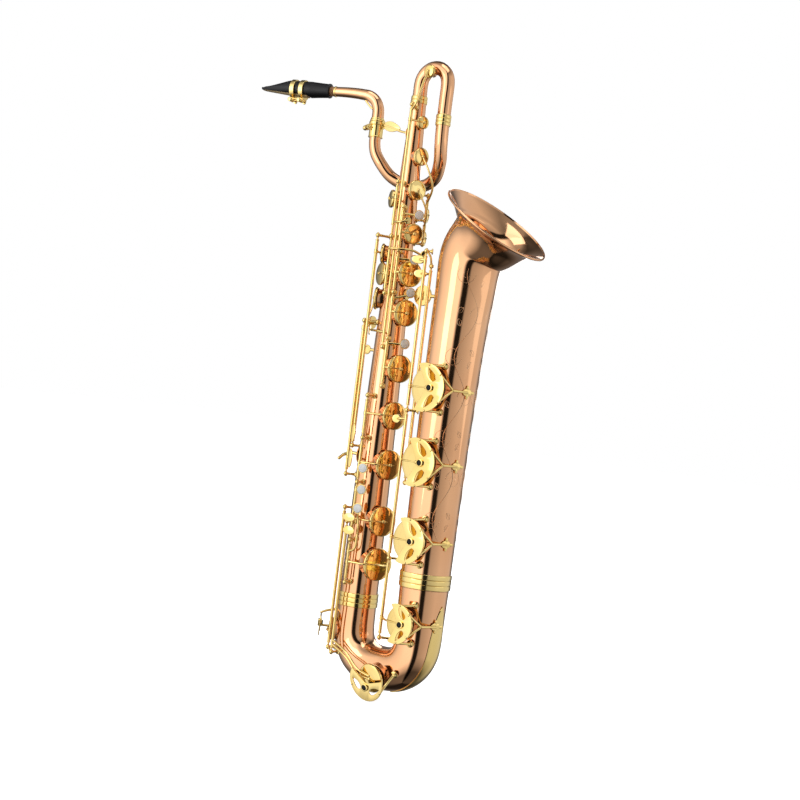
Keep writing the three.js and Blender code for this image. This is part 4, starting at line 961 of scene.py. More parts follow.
@dataclass
class Neck:
    """The neck with its mouthpiece, reed, ligature and cork."""

    swing: float = 17.0
    reach: float = 84.0
    rise: float = 49.0
    slope: float = 0.01
    length: float = 128.0
    radius: float = 14.0
    table_start: float = 0.28
    table_rise: float = 8.0
    way: Vector = field(init=False)
    along: Vector = field(init=False)
    up: Vector = field(init=False)
    side: Vector = field(init=False)

    def __post_init__(self) -> None:
        """Works out the mouthpiece's directions."""
        a = math.radians(self.swing)
        self.way = vec(-math.cos(a), -math.sin(a), 0)
        self.along = (self.way + vec(0, 0, self.slope)).normalized()
        self.up = (Z - self.along * self.along.z).normalized()
        self.side = self.up.cross(self.along)

    def at(self, reach: float, rise: float) -> Vector:
        """A point of the neck's upright plane, from the receiver's top."""
        return vec(RECEIVER_X, 0, RECEIVER_Z + rise) + self.way * reach

    def inside(self, along: float, side: float, up: float) -> Vector:
        """A point in the mouthpiece's own frame."""
        start = self.at(self.reach + 8, self.rise + 0.5)
        return start + self.along * along + self.side * side + self.up * up

    def tube(self) -> None:
        """The neck tube with its collar, end ring and underslung brace."""
        skin = Skin()
        steps = 90
        places = ((0, 3), (0, 13), (1.3, 24), (7, 36), (18, 44), (34, 47), (58, 48.7))
        line = flow([*(self.at(*place) for place in places), self.at(self.reach, self.rise)], steps)
        skin.sweep(line, taper(10.6, 8.2, steps), Finish.BRONZE, 48)
        collar = rounded([(10.4, 0.4), (12.5, 0.4), (12.5, 3), (11.6, 3.6), (11.6, 6.4), (10.4, 7)], 0.5)
        skin.turned(collar, self.at(0, 0.6), Z, 48)
        end = self.at(self.reach, self.rise)
        way = (end - line[-5]).normalized()
        skin.turned(rounded([(7.6, -3), (9.2, -3), (9.2, 0), (7.6, 0)], 0.8), end, way, 40)
        skin.wire([self.at(2, 19), self.at(13, 24), self.at(28, 39)], 1.6)
        for reach, rise in ((1.5, 18.5), (28.5, 40)):
            skin.ball(self.at(reach, rise), 2.6)
        skin.place("neck_tube", "neck_assembly", "neck")

    def cork(self) -> None:
        """The cork sleeve on the neck's end."""
        skin = Skin()
        start = self.at(self.reach + GAP, self.rise)
        skin.bar(start, self.inside(26, 0, 0), 8.3, 7.6, 40, finish=Finish.CORK)
        skin.place("cork_sleeve", "neck_assembly", "neck_cork")

    def mouthpiece(self) -> None:
        """The mouthpiece: a round body that slopes to a thin beak above a flat table."""
        skin = Skin()
        n, steps, shank = 56, 72, 0.27
        length, radius = self.length, self.radius
        rings = []
        for i in range(steps + 1):
            u = i / steps
            r = radius * (1 - 0.17 * max(1 - u / shank, 0) ** 0.8)
            if u < 0.02:
                r -= 1.4 * (1 - math.sqrt(u / 0.02))
            narrow = max(u - 0.6, 0) / 0.4
            half = r * (1 - 0.45 * narrow**1.4)
            roof = r * (1 - 1.21 * narrow**1.06)
            table = min(max(u - self.table_start, 0) / 0.02, 1)
            floor = -r + table * (3 + (u - self.table_start) * self.table_rise)
            ring = []
            for c, s in circle(n):
                z = s * r
                if s >= 0:
                    z = max(s * roof if roof > 0 else roof, floor + 0.4 + 1.2 * s)
                ring.append(self.inside(u * length, half * c, max(z, floor)))
            rings.append(ring)
        skin.rings(rings, Finish.RUBBER)
        ring = rounded([(10.6, 0.2), (12.3, 0.2), (12.6, 3.4), (11.0, 3.8)], 0.6)
        skin.turned(ring, self.inside(0, 0, 0), self.along, 48, finish=Finish.RUBBER)
        skin.place("mouthpiece_body", "neck_assembly", "mouthpiece")

    def reed(self) -> None:
        """The cane reed, full at the heel and shaved to a thin tip."""
        skin = Skin()
        length = self.length
        rings = []
        steps = 30
        for i in range(steps + 1):
            u = i / steps
            x = length * (0.32 + 0.672 * u)
            top = -self.radius + 2.7 + (x / length - self.table_start) * self.table_rise
            thick = 2.8 if u < 0.45 else 2.8 - 2.55 * ((u - 0.45) / 0.55)
            half = 8.1 * (1 if u < 0.93 else math.sqrt(max(1 - ((u - 0.93) / 0.075) ** 2, 0.02)))
            ring = []
            for c, s in circle(24):
                y = half * math.copysign(abs(c) ** 0.5, c)
                z = 0 if s >= -0.01 else -thick * abs(s) ** 0.6
                ring.append(self.inside(x, y, top + z))
            rings.append(ring)
        skin.rings(rings, Finish.CANE)
        skin.place("reed_blade", "neck_assembly", "reed")

    def ligature(self) -> None:
        """Two joined bands with lugs, rails and their thumb screws."""
        skin = Skin()
        r = self.radius
        first, second = self.length * 0.37, self.length * 0.5
        for start in (first, second):
            ring = rounded([(r + 0.4, -0.4), (r + 3.4, -0.4), (r + 3.4, 7.4), (r + 0.4, 7.4),
                            (r + 0.4, -0.4)], 0.5)
            skin.turned(ring, self.inside(start, 0, -1.4), self.along, 64)
        for side in (-6.6, 6.6):
            skin.bar(self.inside(first, side, -r - 4.4), self.inside(second + 7, side, -r - 4.4),
                     1.9)
        for start in (first + 3.5, second + 3.5):
            for s in (-1, 1):
                skin.bar(self.inside(start, s * 5, -r - 7.2), self.inside(start, s * 8.4, -r - 7.2),
                         3.2, sides=28)
                skin.bar(self.inside(start, s * 6.6, -r - 6), self.inside(start, s * 6.6, -r - 2.4),
                         1.9)
        skin.place("ligature_bands", "neck_assembly", "ligature")
        for i, (start, body) in enumerate(((first, "ligature_screw_rear"), (second, "ligature_screw_front"))):
            screw = Skin()
            centre = start + 3.5
            screw.bar(self.inside(centre, -10, -r - 7.2), self.inside(centre, 15, -r - 7.2), 1.5)
            head = self.inside(centre, 12, -r - 7.2)
            knurl = [(3.6 if k % 2 else 3.2, 0.6 + 6 * k / 24) for k in range(25)]
            screw.turned([(0, 0), (2.6, 0), *knurl, (2.4, 7), (0, 7)], head, self.side, 28)
            screw.place(f"ligature_thumb_screw_{i + 1}", body, f"ligature_screw_{i + 1}")

    def build(self) -> None:
        """Makes the neck and everything on it."""
        self.tube()
        self.cork()
        self.mouthpiece()
        self.reed()
        self.ligature()


@dataclass
class Fittings:
    """The receiver and its clamp, the braces, and what the player holds."""

    hoop_r: float = 17.0
    hoop_z: float = 651.0
    rest_z: float = 600.0
    hook_z: float = 378.0

    def receiver(self) -> None:
        """The split receiver sleeve with its clamp lugs and thumb screw."""
        skin = Skin()
        inner = RECEIVER_R + GAP + 0.3
        base = vec(RECEIVER_X, 0, RECEIVER_Z - 2)
        profile = rounded([(inner, -24), (inner + 2, -24), (inner + 2.3, -22.6), (inner + 1.6, -21.4),
                           (inner + 1.6, -3.4), (inner + 3, -2.4), (inner + 3, 2.4), (inner, 2.4),
                           (inner, -24)], 0.6)
        skin.turned(profile, base, Z, 56)
        out, side = vec(-0.5, -0.866, 0), vec(0.866, -0.5, 0)

        def at(o: float, s: float) -> Vector:
            """A point on the clamp, out from the sleeve and along its screw."""
            return vec(RECEIVER_X, 0, RECEIVER_Z - 10) + out * o + side * s

        for s in (-1, 1):
            skin.turned(rounded([(0, 0), (5, 0), (5, 3), (0, 3)], 0.8), at(15, s * 4.4 - 1.5), side, 36)
            skin.bar(at(11.4, s * 4.4), at(16, s * 4.4), 2.2)
        skin.place("receiver_sleeve", "frame", "neck_receiver")
        screw = Skin()
        screw.bar(at(15, -12), at(15, 9), 1.6)
        screw.turned(rounded([(0, -3), (2.2, -3), (2.8, -1.6), (1.6, 0), (1.6, 2)], 0.5), at(15, -9.6),
                     side, 28)
        screw.ball(at(15, -14), 4.5)
        screw.place("clamp_thumb_screw", "clamp_screw", "neck_clamp_screw")

    def braces(self) -> None:
        """The leaf brace to the receiver and the ring brace to the bell."""
        skin = Skin()
        z = RECEIVER_Z - 8
        start = vec(RECEIVER_X + RECEIVER_R + 4.2, 0, z + 4)
        end = vec(-BORE.body_r(z - 10) - GAP - 0.4, 0, z - 10)
        skin.wire([start, vec(-50, 0, z - 1), vec(-32, 0, z - 7), end], 2.2, 1.8)
        leaf = []
        for c, s in circle(48):
            leaf.append((19 * c, (8.5 - 2 * c) * s * abs(s) ** 0.35))
        place = basis(vec(0, -1, 0), vec(1, 0, -0.2), vec(RECEIVER_X + 33, 0.9, z + 0.5))
        skin.plate([leaf], 2.4, place, 0.7)
        skin.pad(end + vec(-1.5, 0, 0), vec(1, 0, 0), vec(0, 1, 0), (6, 9), 1.5, 0)
        skin.pad(start + vec(0.9, 0, 0), vec(-1, 0, 0), vec(0, 1, 0), (5, 8), 1.5, 0)
        skin.place("receiver_leaf_brace", "frame", "receiver_brace")

        ring = Skin()
        height = self.hoop_z
        x, r = bell_at(height)
        left, right = BORE.body_r(height) + GAP + 1, x - r - GAP - 1.8
        middle, big = (left + right) / 2, self.hoop_r
        hoop = rounded([(big - 3, -2.2), (big, -2.2), (big, 2.2), (big - 3, 2.2), (big - 3, -2.2)], 1.1)
        ring.turned(hoop, vec(middle, 0, height), vec(0, 1, 0), 64)
        for a, b in ((left, middle - big + 1), (middle + big - 1, right)):
            ring.bar(vec(a, 0, height), vec(b, 0, height), 3)
        for at, way in ((left, 1), (right, -1)):
            ring.turned(rounded([(0, -0.6), (9, -0.6), (9, 0.8), (4, 2.4), (0, 2.4)], 0.5),
                        vec(at, 0, height), vec(way, 0, 0), 36)
        ring.place("bell_ring_brace", "frame", "bell_brace")

    def holds(self) -> None:
        """The strap ring, thumb rest and thumb hook behind the body tube."""
        skin = Skin()
        eye = STRAP_EYE
        hoop = [(6.5 + 1.6 * math.cos(a), 1.6 * math.sin(a))
                for a in (2 * math.pi * i / 16 for i in range(17))]
        skin.turned(hoop, eye, vec(0, 1, 0), 48)
        wall = -BORE.body_r(eye.z) - GAP
        skin.bar(vec(eye.x + 7, 0, eye.z), vec(wall - 1, 0, eye.z), 2.6)
        skin.pad(vec(wall - 0.1, 0, eye.z), vec(-1, 0, 0), vec(0, 1, 0), (6, 17), 2.4, 0.4)
        skin.place("strap_eye", "frame", "strap_ring")

        rest = Skin()
        z = self.rest_z
        wall = -BORE.body_r(z) - GAP
        rest.turned(rounded([(0, 0), (6, 0), (4.4, 2), (3.6, 5), (4, 16), (0, 16)], 0.8),
                    vec(wall - 0.6, 0, z), vec(-1, 0, 0), 36)
        rest.turned(rounded([(0, 0), (11, 0), (11, 2.6), (8.5, 4.4), (0, 4.4)], 0.9),
                    vec(wall - 16, 0, z), vec(-1, 0, 0), 48)
        rest.place("thumb_rest_pad", "frame", "thumb_rest")

        hook = Skin()
        z = self.hook_z
        wall = -BORE.body_r(z) - GAP
        hook.pad(vec(wall - 0.2, -6, z), vec(-1, 0, 0), vec(0, 1, 0), (8, 14), 2.0, 0.3)
        hook.wire([vec(wall - 1, -6, z), vec(wall - 16, -8, z + 1), vec(wall - 27, -14, z - 3),
                   vec(wall - 29, -24, z - 10)], 3, 2.6)
        hook.ball(vec(wall - 29, -24, z - 10), 2.8)
        for dz in (-9, 9):
            hook.turned(rounded([(0, 0), (2.4, 0), (1.8, 1), (0, 1.3)], 0.3), vec(wall - 2.4, -6, z + dz),
                        vec(-1, 0, 0), 20)
        hook.place("thumb_hook_bar", "frame", "thumb_hook")

    def build(self) -> None:
        """Makes every fitting."""
        self.receiver()
        self.braces()
        self.holds()


# ---- Keys ------------------------------------------------------------------------------


class Key(Skin):
    """One key: a barrel on its rod, with cups, arms and touches."""

    def __init__(self, line: HingeLine, span: tuple[float, float]) -> None:
        """Starts with the barrel between two heights of the hinge line."""
        super().__init__()
        self.line = line
        low, high = span
        collar = 1.6
        centres = [low, low + 0.3, low + collar, low + collar + 0.4,
                   high - collar - 0.4, high - collar, high - 0.3, high]
        eased, waist = BARREL_R - 0.3, BARREL_R - 0.4
        radii = [eased, BARREL_R, BARREL_R, waist, waist, BARREL_R, BARREL_R, eased]
        self.sweep([line.at(z) for z in centres], radii, Finish.GOLD, 24)

    def cup(self, hole: ToneHole, lip: float = 0) -> None:
        """A domed key cup over its leather pad and resonator; lip widens its rim."""
        r = hole.r + lip
        base = hole.seat + hole.axis * GAP
        self.turned([(0, 0), (r * 0.34, 0), (r * 0.36, -0.3), (r * 0.1, -0.7), (0, -0.7)],
                    base + hole.axis * 0.2, hole.axis, 32)
        self.turned(rounded([(0, 0), (r - 2.6, 0), (r - 1.3, 0.7), (r - 1.3, 2)], 0.5),
                    base, hole.axis, 48, finish=Finish.LEATHER)
        metal = rounded([(r - 1.3, 0.9), (r - 0.2, 0.9), (r, 1.6), (r, 4.2), (r - 1.0, 5.4),
                         (r * 0.82, 6.1), (r * 0.5, 7.0), (0, 7.4)], 0.9)
        self.turned(metal, base, hole.axis, 64)

    def arm(self, hole: ToneHole, z: float, via: Sequence[Vector] = ()) -> None:
        """A tapering arm from the barrel to the middle of a cup."""
        start = self.line.at(z)
        top = hole.top
        back = start - top
        back -= hole.axis * back.dot(hole.axis)
        rim = top + back.normalized() * hole.r + hole.axis * 0.4
        beyond = top - back.normalized() * hole.r * 0.3
        self.wire([start, *via, rim, top, beyond], 2.2, 0.7, 30)
        self.turned(rounded([(0, -0.6), (3.4, -0.6), (2.6, 1.2), (1.3, 2.2), (0, 2.4)], 0.4), top,
                    hole.axis, 28)
        self._sleeve(z)

    def _sleeve(self, z: float) -> None:
        """A short raised ring on the barrel where an arm leaves it."""
        self.sweep([self.line.at(z + h) for h in (-3.2, -2.8, 2.8, 3.2)], [2.7, 3.3, 3.3, 2.7],
                   Finish.GOLD, 24)

    def pearl(self, z: float, phi: float, rho: float, rise: float) -> None:
        """A pearl touch in a gold cup on its short arm."""
        place = polar(phi, rho, z + rise)
        out = polar(phi, 1, 0)
        self.turned(rounded([(0, 0), (6.4, 0), (8.6, 1.8), (8.6, 3.4), (7.6, 3.5), (7.4, 2.6)], 0.5),
                    place, out, 40)
        self.turned(rounded([(7.4, 2.4), (7.3, 3.4), (6.2, 4.0), (0, 4.4)], 0.5), place, out,
                    finish=Finish.PEARL)
        lean = [polar(phi, rho - 4, z + 6), polar(phi, rho - 4, z + rise - 16)] if rise > 20 else []
        self.wire([self.line.at(z), *lean, polar(phi, rho - 2, z + rise * 0.8), place + out],
                  2.1, 1.8)
        self._sleeve(z)

    def paddle(self, z: float, phi: float, rho: float, size: tuple[float, float]) -> None:
        """An oval touch, long and wide, on a short arm."""
        place = polar(phi, rho, z)
        out = polar(phi, 1, 0)
        long, wide = size
        self.pad(place, out, out.cross(Z), (wide, long), 2.4, 0.7)
        self.wire([self.line.at(z), polar(phi, rho - 1, z), place + out], 1.9)
        self._sleeve(z)

    def spring(self, low: float, high: float) -> None:
        """The needle spring that lies beside the barrel."""
        out = (self.line.at(0) - vec(self.line.tube_x, 0, 0)).normalized()
        offset = -out * 3.4
        self.wire([self.line.at(low) + offset, self.line.at(high) + offset * 1.1], 0.35, 0.2, 4, 8,
                  Finish.STEEL)

    def finish_key(self, name: str, angle: float = 0) -> None:
        """Turns the key open by an angle and makes it."""
        if angle:
            self.turn_about(self.line, angle)
        self.place(name + "_work", name, name)


def open_angle(line: HingeLine, hole: ToneHole, opening: float) -> float:
    """Degrees that lift a cup's middle by its opening."""
    reach = math.hypot(hole.seat.x - line.x, hole.seat.y - line.y)
    return -math.degrees(opening / reach)


def posts(skin: Skin, line: HingeLine, heights: Sequence[float]) -> None:
    """A hinge rod and the ball-headed posts that hold it.

    Args:
        skin: The piece that they belong to.
        line: Their hinge line.
        heights: The posts' heights.
    """
    skin.bar(line.at(min(heights)), line.at(max(heights)), ROD_R)
    for z in heights:
        head = line.at(z)
        centre = vec(line.tube_x, 0, z)
        out = (head - centre).normalized()
        foot = centre + out * (line.tube_r(z) + GAP + 0.35)
        tall = (head - foot).length
        profile = rounded([(0, -0.6), (5, -0.6), (5, 1), (3.2, 1.8), (2.4, 3.2), (1.9, tall * 0.5),
                           (2.3, tall - 4), (0, tall - 3.4)], 0.6)
        skin.turned(profile, foot, out, 28)
        skin.ball(head, POST_HEAD_R)
        for way in (-1, 1):
            end = head + Z * (way * 3.5)
            skin.turned(rounded([(0, 0), (1.9, 0), (1.7, 0.9), (0, 1)], 0.2), end, Z * way, 20)


def post_set(name: str, line: HingeLine, heights: Sequence[float]) -> None:
    """A whole piece that is one rod on its posts."""
    skin = Skin()
    posts(skin, line, heights)
    skin.place(name + "_set", "frame", name)


@dataclass
class Stacks:
    """The two stacks of open-standing finger keys."""

    opening: float = 4.5

    def build(self) -> None:
        """Makes each stack key and its posts."""
        lower, upper = LOWER_STACK, UPPER_STACK
        keys = [
            ("f_sharp", lower, (415, 471), None), ("f", lower, (342, 401), (359, -69, 55, 0)),
            ("e", lower, (247, 328), (322, -67, 55, 2)), ("d", lower, (177, 233), (221, -69, 56, 72)),
            ("g", upper, (503, 568), (566, -20, 46, 2)), ("a", upper, (582, 644), (640, -20, 44, 12)),
            ("b", upper, (658, 713), (706, -20, 43, 0)), ("c", upper, (727, 785), (780, -20, 40, 0)),
        ]
        for name, line, span, touch in keys:
            hole = HOLES[name]
            key = Key(line, span)
            key.cup(hole)
            key.arm(hole, hole.seat.z)
            if touch:
                key.pearl(*touch)
            key.spring(span[0] - 4, span[0] + 24)
            key.finish_key(name + "_key", open_angle(line, hole, self.opening))
        post_set("lower_stack_posts", lower, [170, 240, 335, 408, 478])
        post_set("upper_stack_posts", upper, [496, 575, 651, 720, 792])


@dataclass
class UpperKeys:
    """The left hand's side, front, octave and palm keys."""

    def left(self) -> None:
        """The G sharp and front F keys on the left line."""
        hole = HOLES["g_sharp"]
        key = Key(LEFT_LINE, (655, 724))
        key.cup(hole)
        key.arm(hole, 680)
        table = vec(57, -12, 714)
        key.wire([LEFT_LINE.at(720), polar(-73, 46.5, 721), polar(-52, 48, 721),
                  polar(-30, 50.5, 721), table], 2)
        key.pad(table, vec(0.6, -0.8, 0), Z, (9, 6), 2.4)
        key.finish_key("g_sharp_key")
        hole = HOLES["front_f"]
        key = Key(LEFT_LINE, (760, 825))
        key.cup(hole)
        key.arm(hole, 806)
        key.wire([LEFT_LINE.at(765), polar(-62, 50, 765), polar(-46, 52, 768)], 1.9)
        key.pad(polar(-46, 50, 768), polar(-46, 1, 0), Z, (6, 6), 2.2)
        key.finish_key("front_f_key")
        post_set("left_posts", LEFT_LINE, [648, 742, 832])

    def octave(self) -> None:
        """The octave key, whose thumb lever lifts both vents."""
        line = OCTAVE_LINE
        key = Key(line, (567, 954))
        key.cup(HOLES["octave"])
        key.arm(HOLES["octave"], 935)
        key.wire([line.at(584), polar(-95, 33, 585), polar(-130, 33, 586), polar(-148, 35, 587)],
                 1.9)
        key.pad(polar(-152, 35, 587), polar(-152, 1, 0), Z, (9, 6), 2.2)
        key.cup(TOP_VENT)
        key.wire([line.at(950), vec(24, -38, 962), vec(27, -32, 990), TOP_VENT.top], 2)
        key.ball(TOP_VENT.top, 2.8)
        key.finish_key("octave_key")
        post_set("octave_posts", line, [560, 960])

    def sides(self) -> None:
        """The two right-hand side keys on their long rods."""
        for name, line, span, z, arm_z, via in (
            ("side_b_flat", SIDE_LINE_2, (352, 592), 372, 588, [polar(-145, 46, 592)]),
            ("side_c", SIDE_LINE, (400, 735), 414, 715, []),
        ):
            key = Key(line, span)
            key.cup(HOLES[name])
            key.arm(HOLES[name], arm_z, via)
            key.paddle(z, -103, 52, (16, 5))
            key.finish_key(name + "_key")
        post_set("side_c_posts", SIDE_LINE, [393, 742])
        post_set("side_b_flat_posts", SIDE_LINE_2, [345, 600])

    def palms(self) -> None:
        """The palm keys."""
        for name, span, arm_z, way, touch_z in (
            ("palm_d", (745, 770), 767, [vec(37, 8, 790)], 750),
            ("palm_e_flat", (784, 812), 808, [vec(42, 10, 830), vec(40, -3, 856)], 789),
        ):
            hole = HOLES[name]
            key = Key(PALM_LINE, span)
            key.cup(hole)
            key.wire([PALM_LINE.at(arm_z), *way, hole.top], 2, 1.4)
            key.ball(hole.top, 2.8)
            at = polar(80, 47, touch_z)
            key.wire([PALM_LINE.at(touch_z), polar(62, 43, touch_z), at], 2)
            key.pad(at, polar(80, 1, 0), vec(1, 0, 0), (6, 13), 2.4, 0.8)
            key.finish_key(name + "_key")
        post_set("palm_key_posts", PALM_LINE, [738, 777, 819])

    def build(self) -> None:
        """Makes every upper key."""
        self.left()
        self.octave()
        self.sides()
        self.palms()


@dataclass
class LowKeys:
    """The keys of the bow and bell, with their posts."""

    opening: float = 6.0
    lip: float = 4.5

    def bow(self) -> None:
        """The low C and E flat keys."""
        low_c, e_flat = BOW_HOLES["low_c"], BOW_HOLES["e_flat"]
        key = Key(LOW_C_LINE, (60, 262))
        key.cup(low_c)
        for rise in (0, 7):
            key.wire([LOW_C_LINE.at(66 + rise), vec(32, -52, 52 + rise), vec(60, -50, 30 + rise),
                      low_c.top + vec(0, -1, rise * 0.6)], 1.9)
        key.ball(low_c.top, 3.4)
        key.paddle(256, -79, 60, (7, 11))
        key.finish_key("low_c_key", open_angle(LOW_C_LINE, low_c, self.opening))
        key = Key(E_FLAT_LINE, (66, 284))
        key.cup(e_flat)
        key.arm(e_flat, 86)
        key.paddle(277, -81, 62.5, (7, 11))
        key.finish_key("e_flat_key")
        skin = Skin()
        posts(skin, LOW_C_LINE, [53, 269])
        posts(skin, E_FLAT_LINE, [59, 291])
        skin.bar(LOW_C_LINE.at(53), E_FLAT_LINE.at(59), 1.7)
        skin.place("low_key_posts_set", "frame", "low_key_posts")

    def bell(self) -> None:
        """The low B flat, B, C sharp and A keys, with their table touches."""
        for name, line, span, hole, touch in (
            ("low_b_flat_key", BELL_LINE_1, (470, 712), BELL_HOLES["b_flat"], (705, vec(66, -36, 706), 12)),
            ("low_b_key", BELL_LINE_2, (352, 690), BELL_HOLES["b"], (684, vec(66, -28, 684), 11)),
            ("low_c_sharp_key", BELL_LINE_1, (230, 455), BELL_HOLES["c_sharp"], (448, vec(64, -40, 446), 8)),
            ("low_a_key", BELL_LINE_1, (100, 214), BOW_HOLES["low_a"], None),
        ):
            key = Key(line, span)
            key.cup(hole, self.lip)
            key.arm(hole, hole.seat.z)
            if touch:
                z, at, wide = touch
                middle = at.lerp(line.at(z), 0.4) + vec(0, -3, 0)
                key.wire([line.at(z), middle, at], 2)
                key.pad(at, vec(0.5, -0.866, 0), Z, (7, wide), 2.4)
            else:
                key.wire([line.at(208), vec(72, -44, 208), vec(60, -42, 208)], 2)
            key.finish_key(name, open_angle(line, hole, self.opening))
        skin = Skin()
        posts(skin, BELL_LINE_1, [93, 222, 462, 720])
        posts(skin, BELL_LINE_2, [345, 697])
        skin.wire([BELL_LINE_1.at(720), vec(88, -34, 712), BELL_LINE_2.at(697)], 1.8)
        skin.place("bell_key_posts_set", "frame", "bell_key_posts")

    def build(self) -> None:
        """Makes every low key."""
        self.bow()
        self.bell()


@dataclass
class Guards:
    """The crescent guards over the low keys' cups."""

    tip: float = 112.0
    prong: float = 36.0
    stand_off: float = 7.5

    def _bend(self, a: tuple, b: tuple, c: tuple, steps: int = 12) -> list[tuple[float, float]]:
        """Points on a curve from a to c drawn towards b."""
        out = []
        for i in range(1, steps + 1):
            t = i / steps
            out.append(tuple(p * (1 - t) ** 2 + q * 2 * t * (1 - t) + r * t * t for p, q, r in zip(a, b, c)))
        return out

    def outlines(self, radius: float) -> list[list[tuple[float, float]]]:
        """The crescent's edge and its two leaf openings."""
        tip = math.radians(self.tip)
        edge = [(radius * math.cos(a), radius * math.sin(a)) for a in taper(-tip, tip, 56)]
        middle = (BOSS_OFFSET * radius - 7, 0.0)
        edge += self._bend(edge[-1], (-radius * 0.05, radius * 0.36), middle)
        edge += self._bend(middle, (-radius * 0.05, -radius * 0.36), edge[0])[:-1]
        leaves = []
        for s in (-1, 1):
            start = (radius * 0.42, s * radius * 0.26)
            end = (radius * 0.1, s * radius * 0.84)
            leaf = [start] + self._bend(start, (radius * 0.82, s * radius * 0.4), end)
            leaf += self._bend(end, (radius * 0.1, s * radius * 0.42), start)[:-1]
            leaves.append(leaf)
        return [edge, *leaves]

    def _on_rim(self, place: Matrix, radius: float, angle: float) -> Vector:
        """A point near the crescent's rim, at an angle in degrees."""
        a = math.radians(angle)
        return place @ vec((radius - 2) * math.cos(a), (radius - 2) * math.sin(a), 0.9)

    def guard(self, name: str, hole: ToneHole, radius: float, across: Vector,
              legs: Sequence[tuple[float, Vector, Vector]],
              fork: tuple[Vector, Vector] | None = None) -> None:
        """One guard: its plate, ringed boss, bumper and legs.

        Args:
            name: The CAD node that it stands for.
            hole: The tone hole whose cup it covers.
            radius: The crescent's outer radius.
            across: The way the crescent's belly points.
            legs: Each leg's place on the rim in degrees, its foot and the foot's direction.
            fork: The foot and direction of a two-pronged leg, if it has one.
        """
        skin = Skin()
        middle = hole.seat + hole.axis * GUARD_LIFT
        place = basis(hole.axis, across, middle)
        skin.plate(self.outlines(radius), 1.8, place, 0.45)
        boss = place @ vec(BOSS_OFFSET * radius, 0, 0)
        skin.turned(rounded([(0, -1.5), (6.5, -1.5), (6.5, 4.5), (4.6, 5), (4.2, 3.4), (0, 3.4)], 0.5),
                    boss, hole.axis, 40)
        skin.turned(rounded([(0, 3), (3.9, 3), (3.9, 4.4), (0, 4.9)], 0.5), boss, hole.axis, 32,
                    finish=Finish.FELT)
        skin.bar(boss, boss - hole.axis * 3.6, 4, finish=Finish.FELT)
        for angle, foot, out in legs:
            rim = self._on_rim(place, radius, angle)
            knee = rim.lerp(foot, 0.55) + hole.axis + out * 3
            skin.wire([rim, knee, foot + out * 1.2], 1.9, 2.2)
            skin.turned(rounded([(0, -0.4), (6, -0.4), (6, 1), (3.4, 2), (2.2, 4), (0, 4.4)], 0.5),
                        foot, out, 36)
            skin.ball(rim, 2.3)
        if fork:
            foot, out = fork
            meet = self._on_rim(place, radius, 0).lerp(foot, 0.45) + hole.axis * 2
            for angle in (-self.prong, self.prong):
                rim = self._on_rim(place, radius, angle)
                skin.wire([rim, rim.lerp(meet, 0.5) + hole.axis * 0.5, meet], 1.9, 1.9)
                skin.ball(rim, 2.2)
            skin.wire([meet, meet.lerp(foot, 0.6) + out, foot + out * 1.4], 2.4, 1.8)
            skin.ball(meet, 2.6)
            level = vec(-out.y, out.x, 0)
            skin.pad(foot - out * 0.6, out, level, (9, 6.5), 1.8, 1.0)
            for way, far in ((level, 9.5), (Z, 6.5), (-Z, 6.5)):
                skin.pad(foot + way * far - out * 0.3, out, way, (4.6, 2.6), 1.5, 0.8)
        skin.place(name + "_plate", "frame", name)

    def build(self) -> None:
        """Makes every guard."""
        def foot(x: float, tube: float, phi: float, z: float, lift: float) -> tuple[Vector, Vector]:
            """A foot on an upright tube at an angle and height."""
            out = polar(phi, 1, 0)
            return vec(x, 0, z) + out * (tube + GAP + lift), out

        for name, hole, radius in (("low_b_flat_guard", BELL_HOLES["b_flat"], 39),
                                   ("low_b_guard", BELL_HOLES["b"], 39),
                                   ("low_c_sharp_guard", BELL_HOLES["c_sharp"], 37),
                                   ("low_a_guard", BOW_HOLES["low_a"], 32)):
            z = hole.seat.z
            x, tube = bell_at(z) if z > BORE.bell_bottom else (BORE.bell_x, BORE.bell_r)
            side = hole.r + self.stand_off
            legs = [(s * 80, *foot(x, tube, -70, z + s * side, 2.2)) for s in (1, -1)]
            self.guard(name, hole, radius, vec(1, 0, 0), legs, foot(x, tube, -17, z, 1.5))
        low_c, e_flat = BOW_HOLES["low_c"], BOW_HOLES["e_flat"]

        def beside(x: float, way: Vector) -> tuple[Vector, Vector]:
            """A foot on the bow at x, facing way."""
            out = way.normalized()
            return vec(x, 0, BORE.bow_z(x)) + out * (BORE.bow_r(x) + GAP + 1.4), out

        self.guard("low_c_guard", low_c, 33, vec(-0.2, 0, -1), [
            (75, *beside(LOW_C_X + 26, vec(0.25, -0.9, -0.25))),
            (-60, *beside(LOW_C_X - 34, vec(-0.3, -0.9, -0.4)))])
        tube = BORE.body_radii[0]
        self.guard("e_flat_guard", e_flat, 27, Z, [
            (90, *foot(0, tube, -190, 86, 1.4)), (0, *foot(0, tube, -150, 118, 1.4))])


# ---- Studio ----------------------------------------------------------------------------


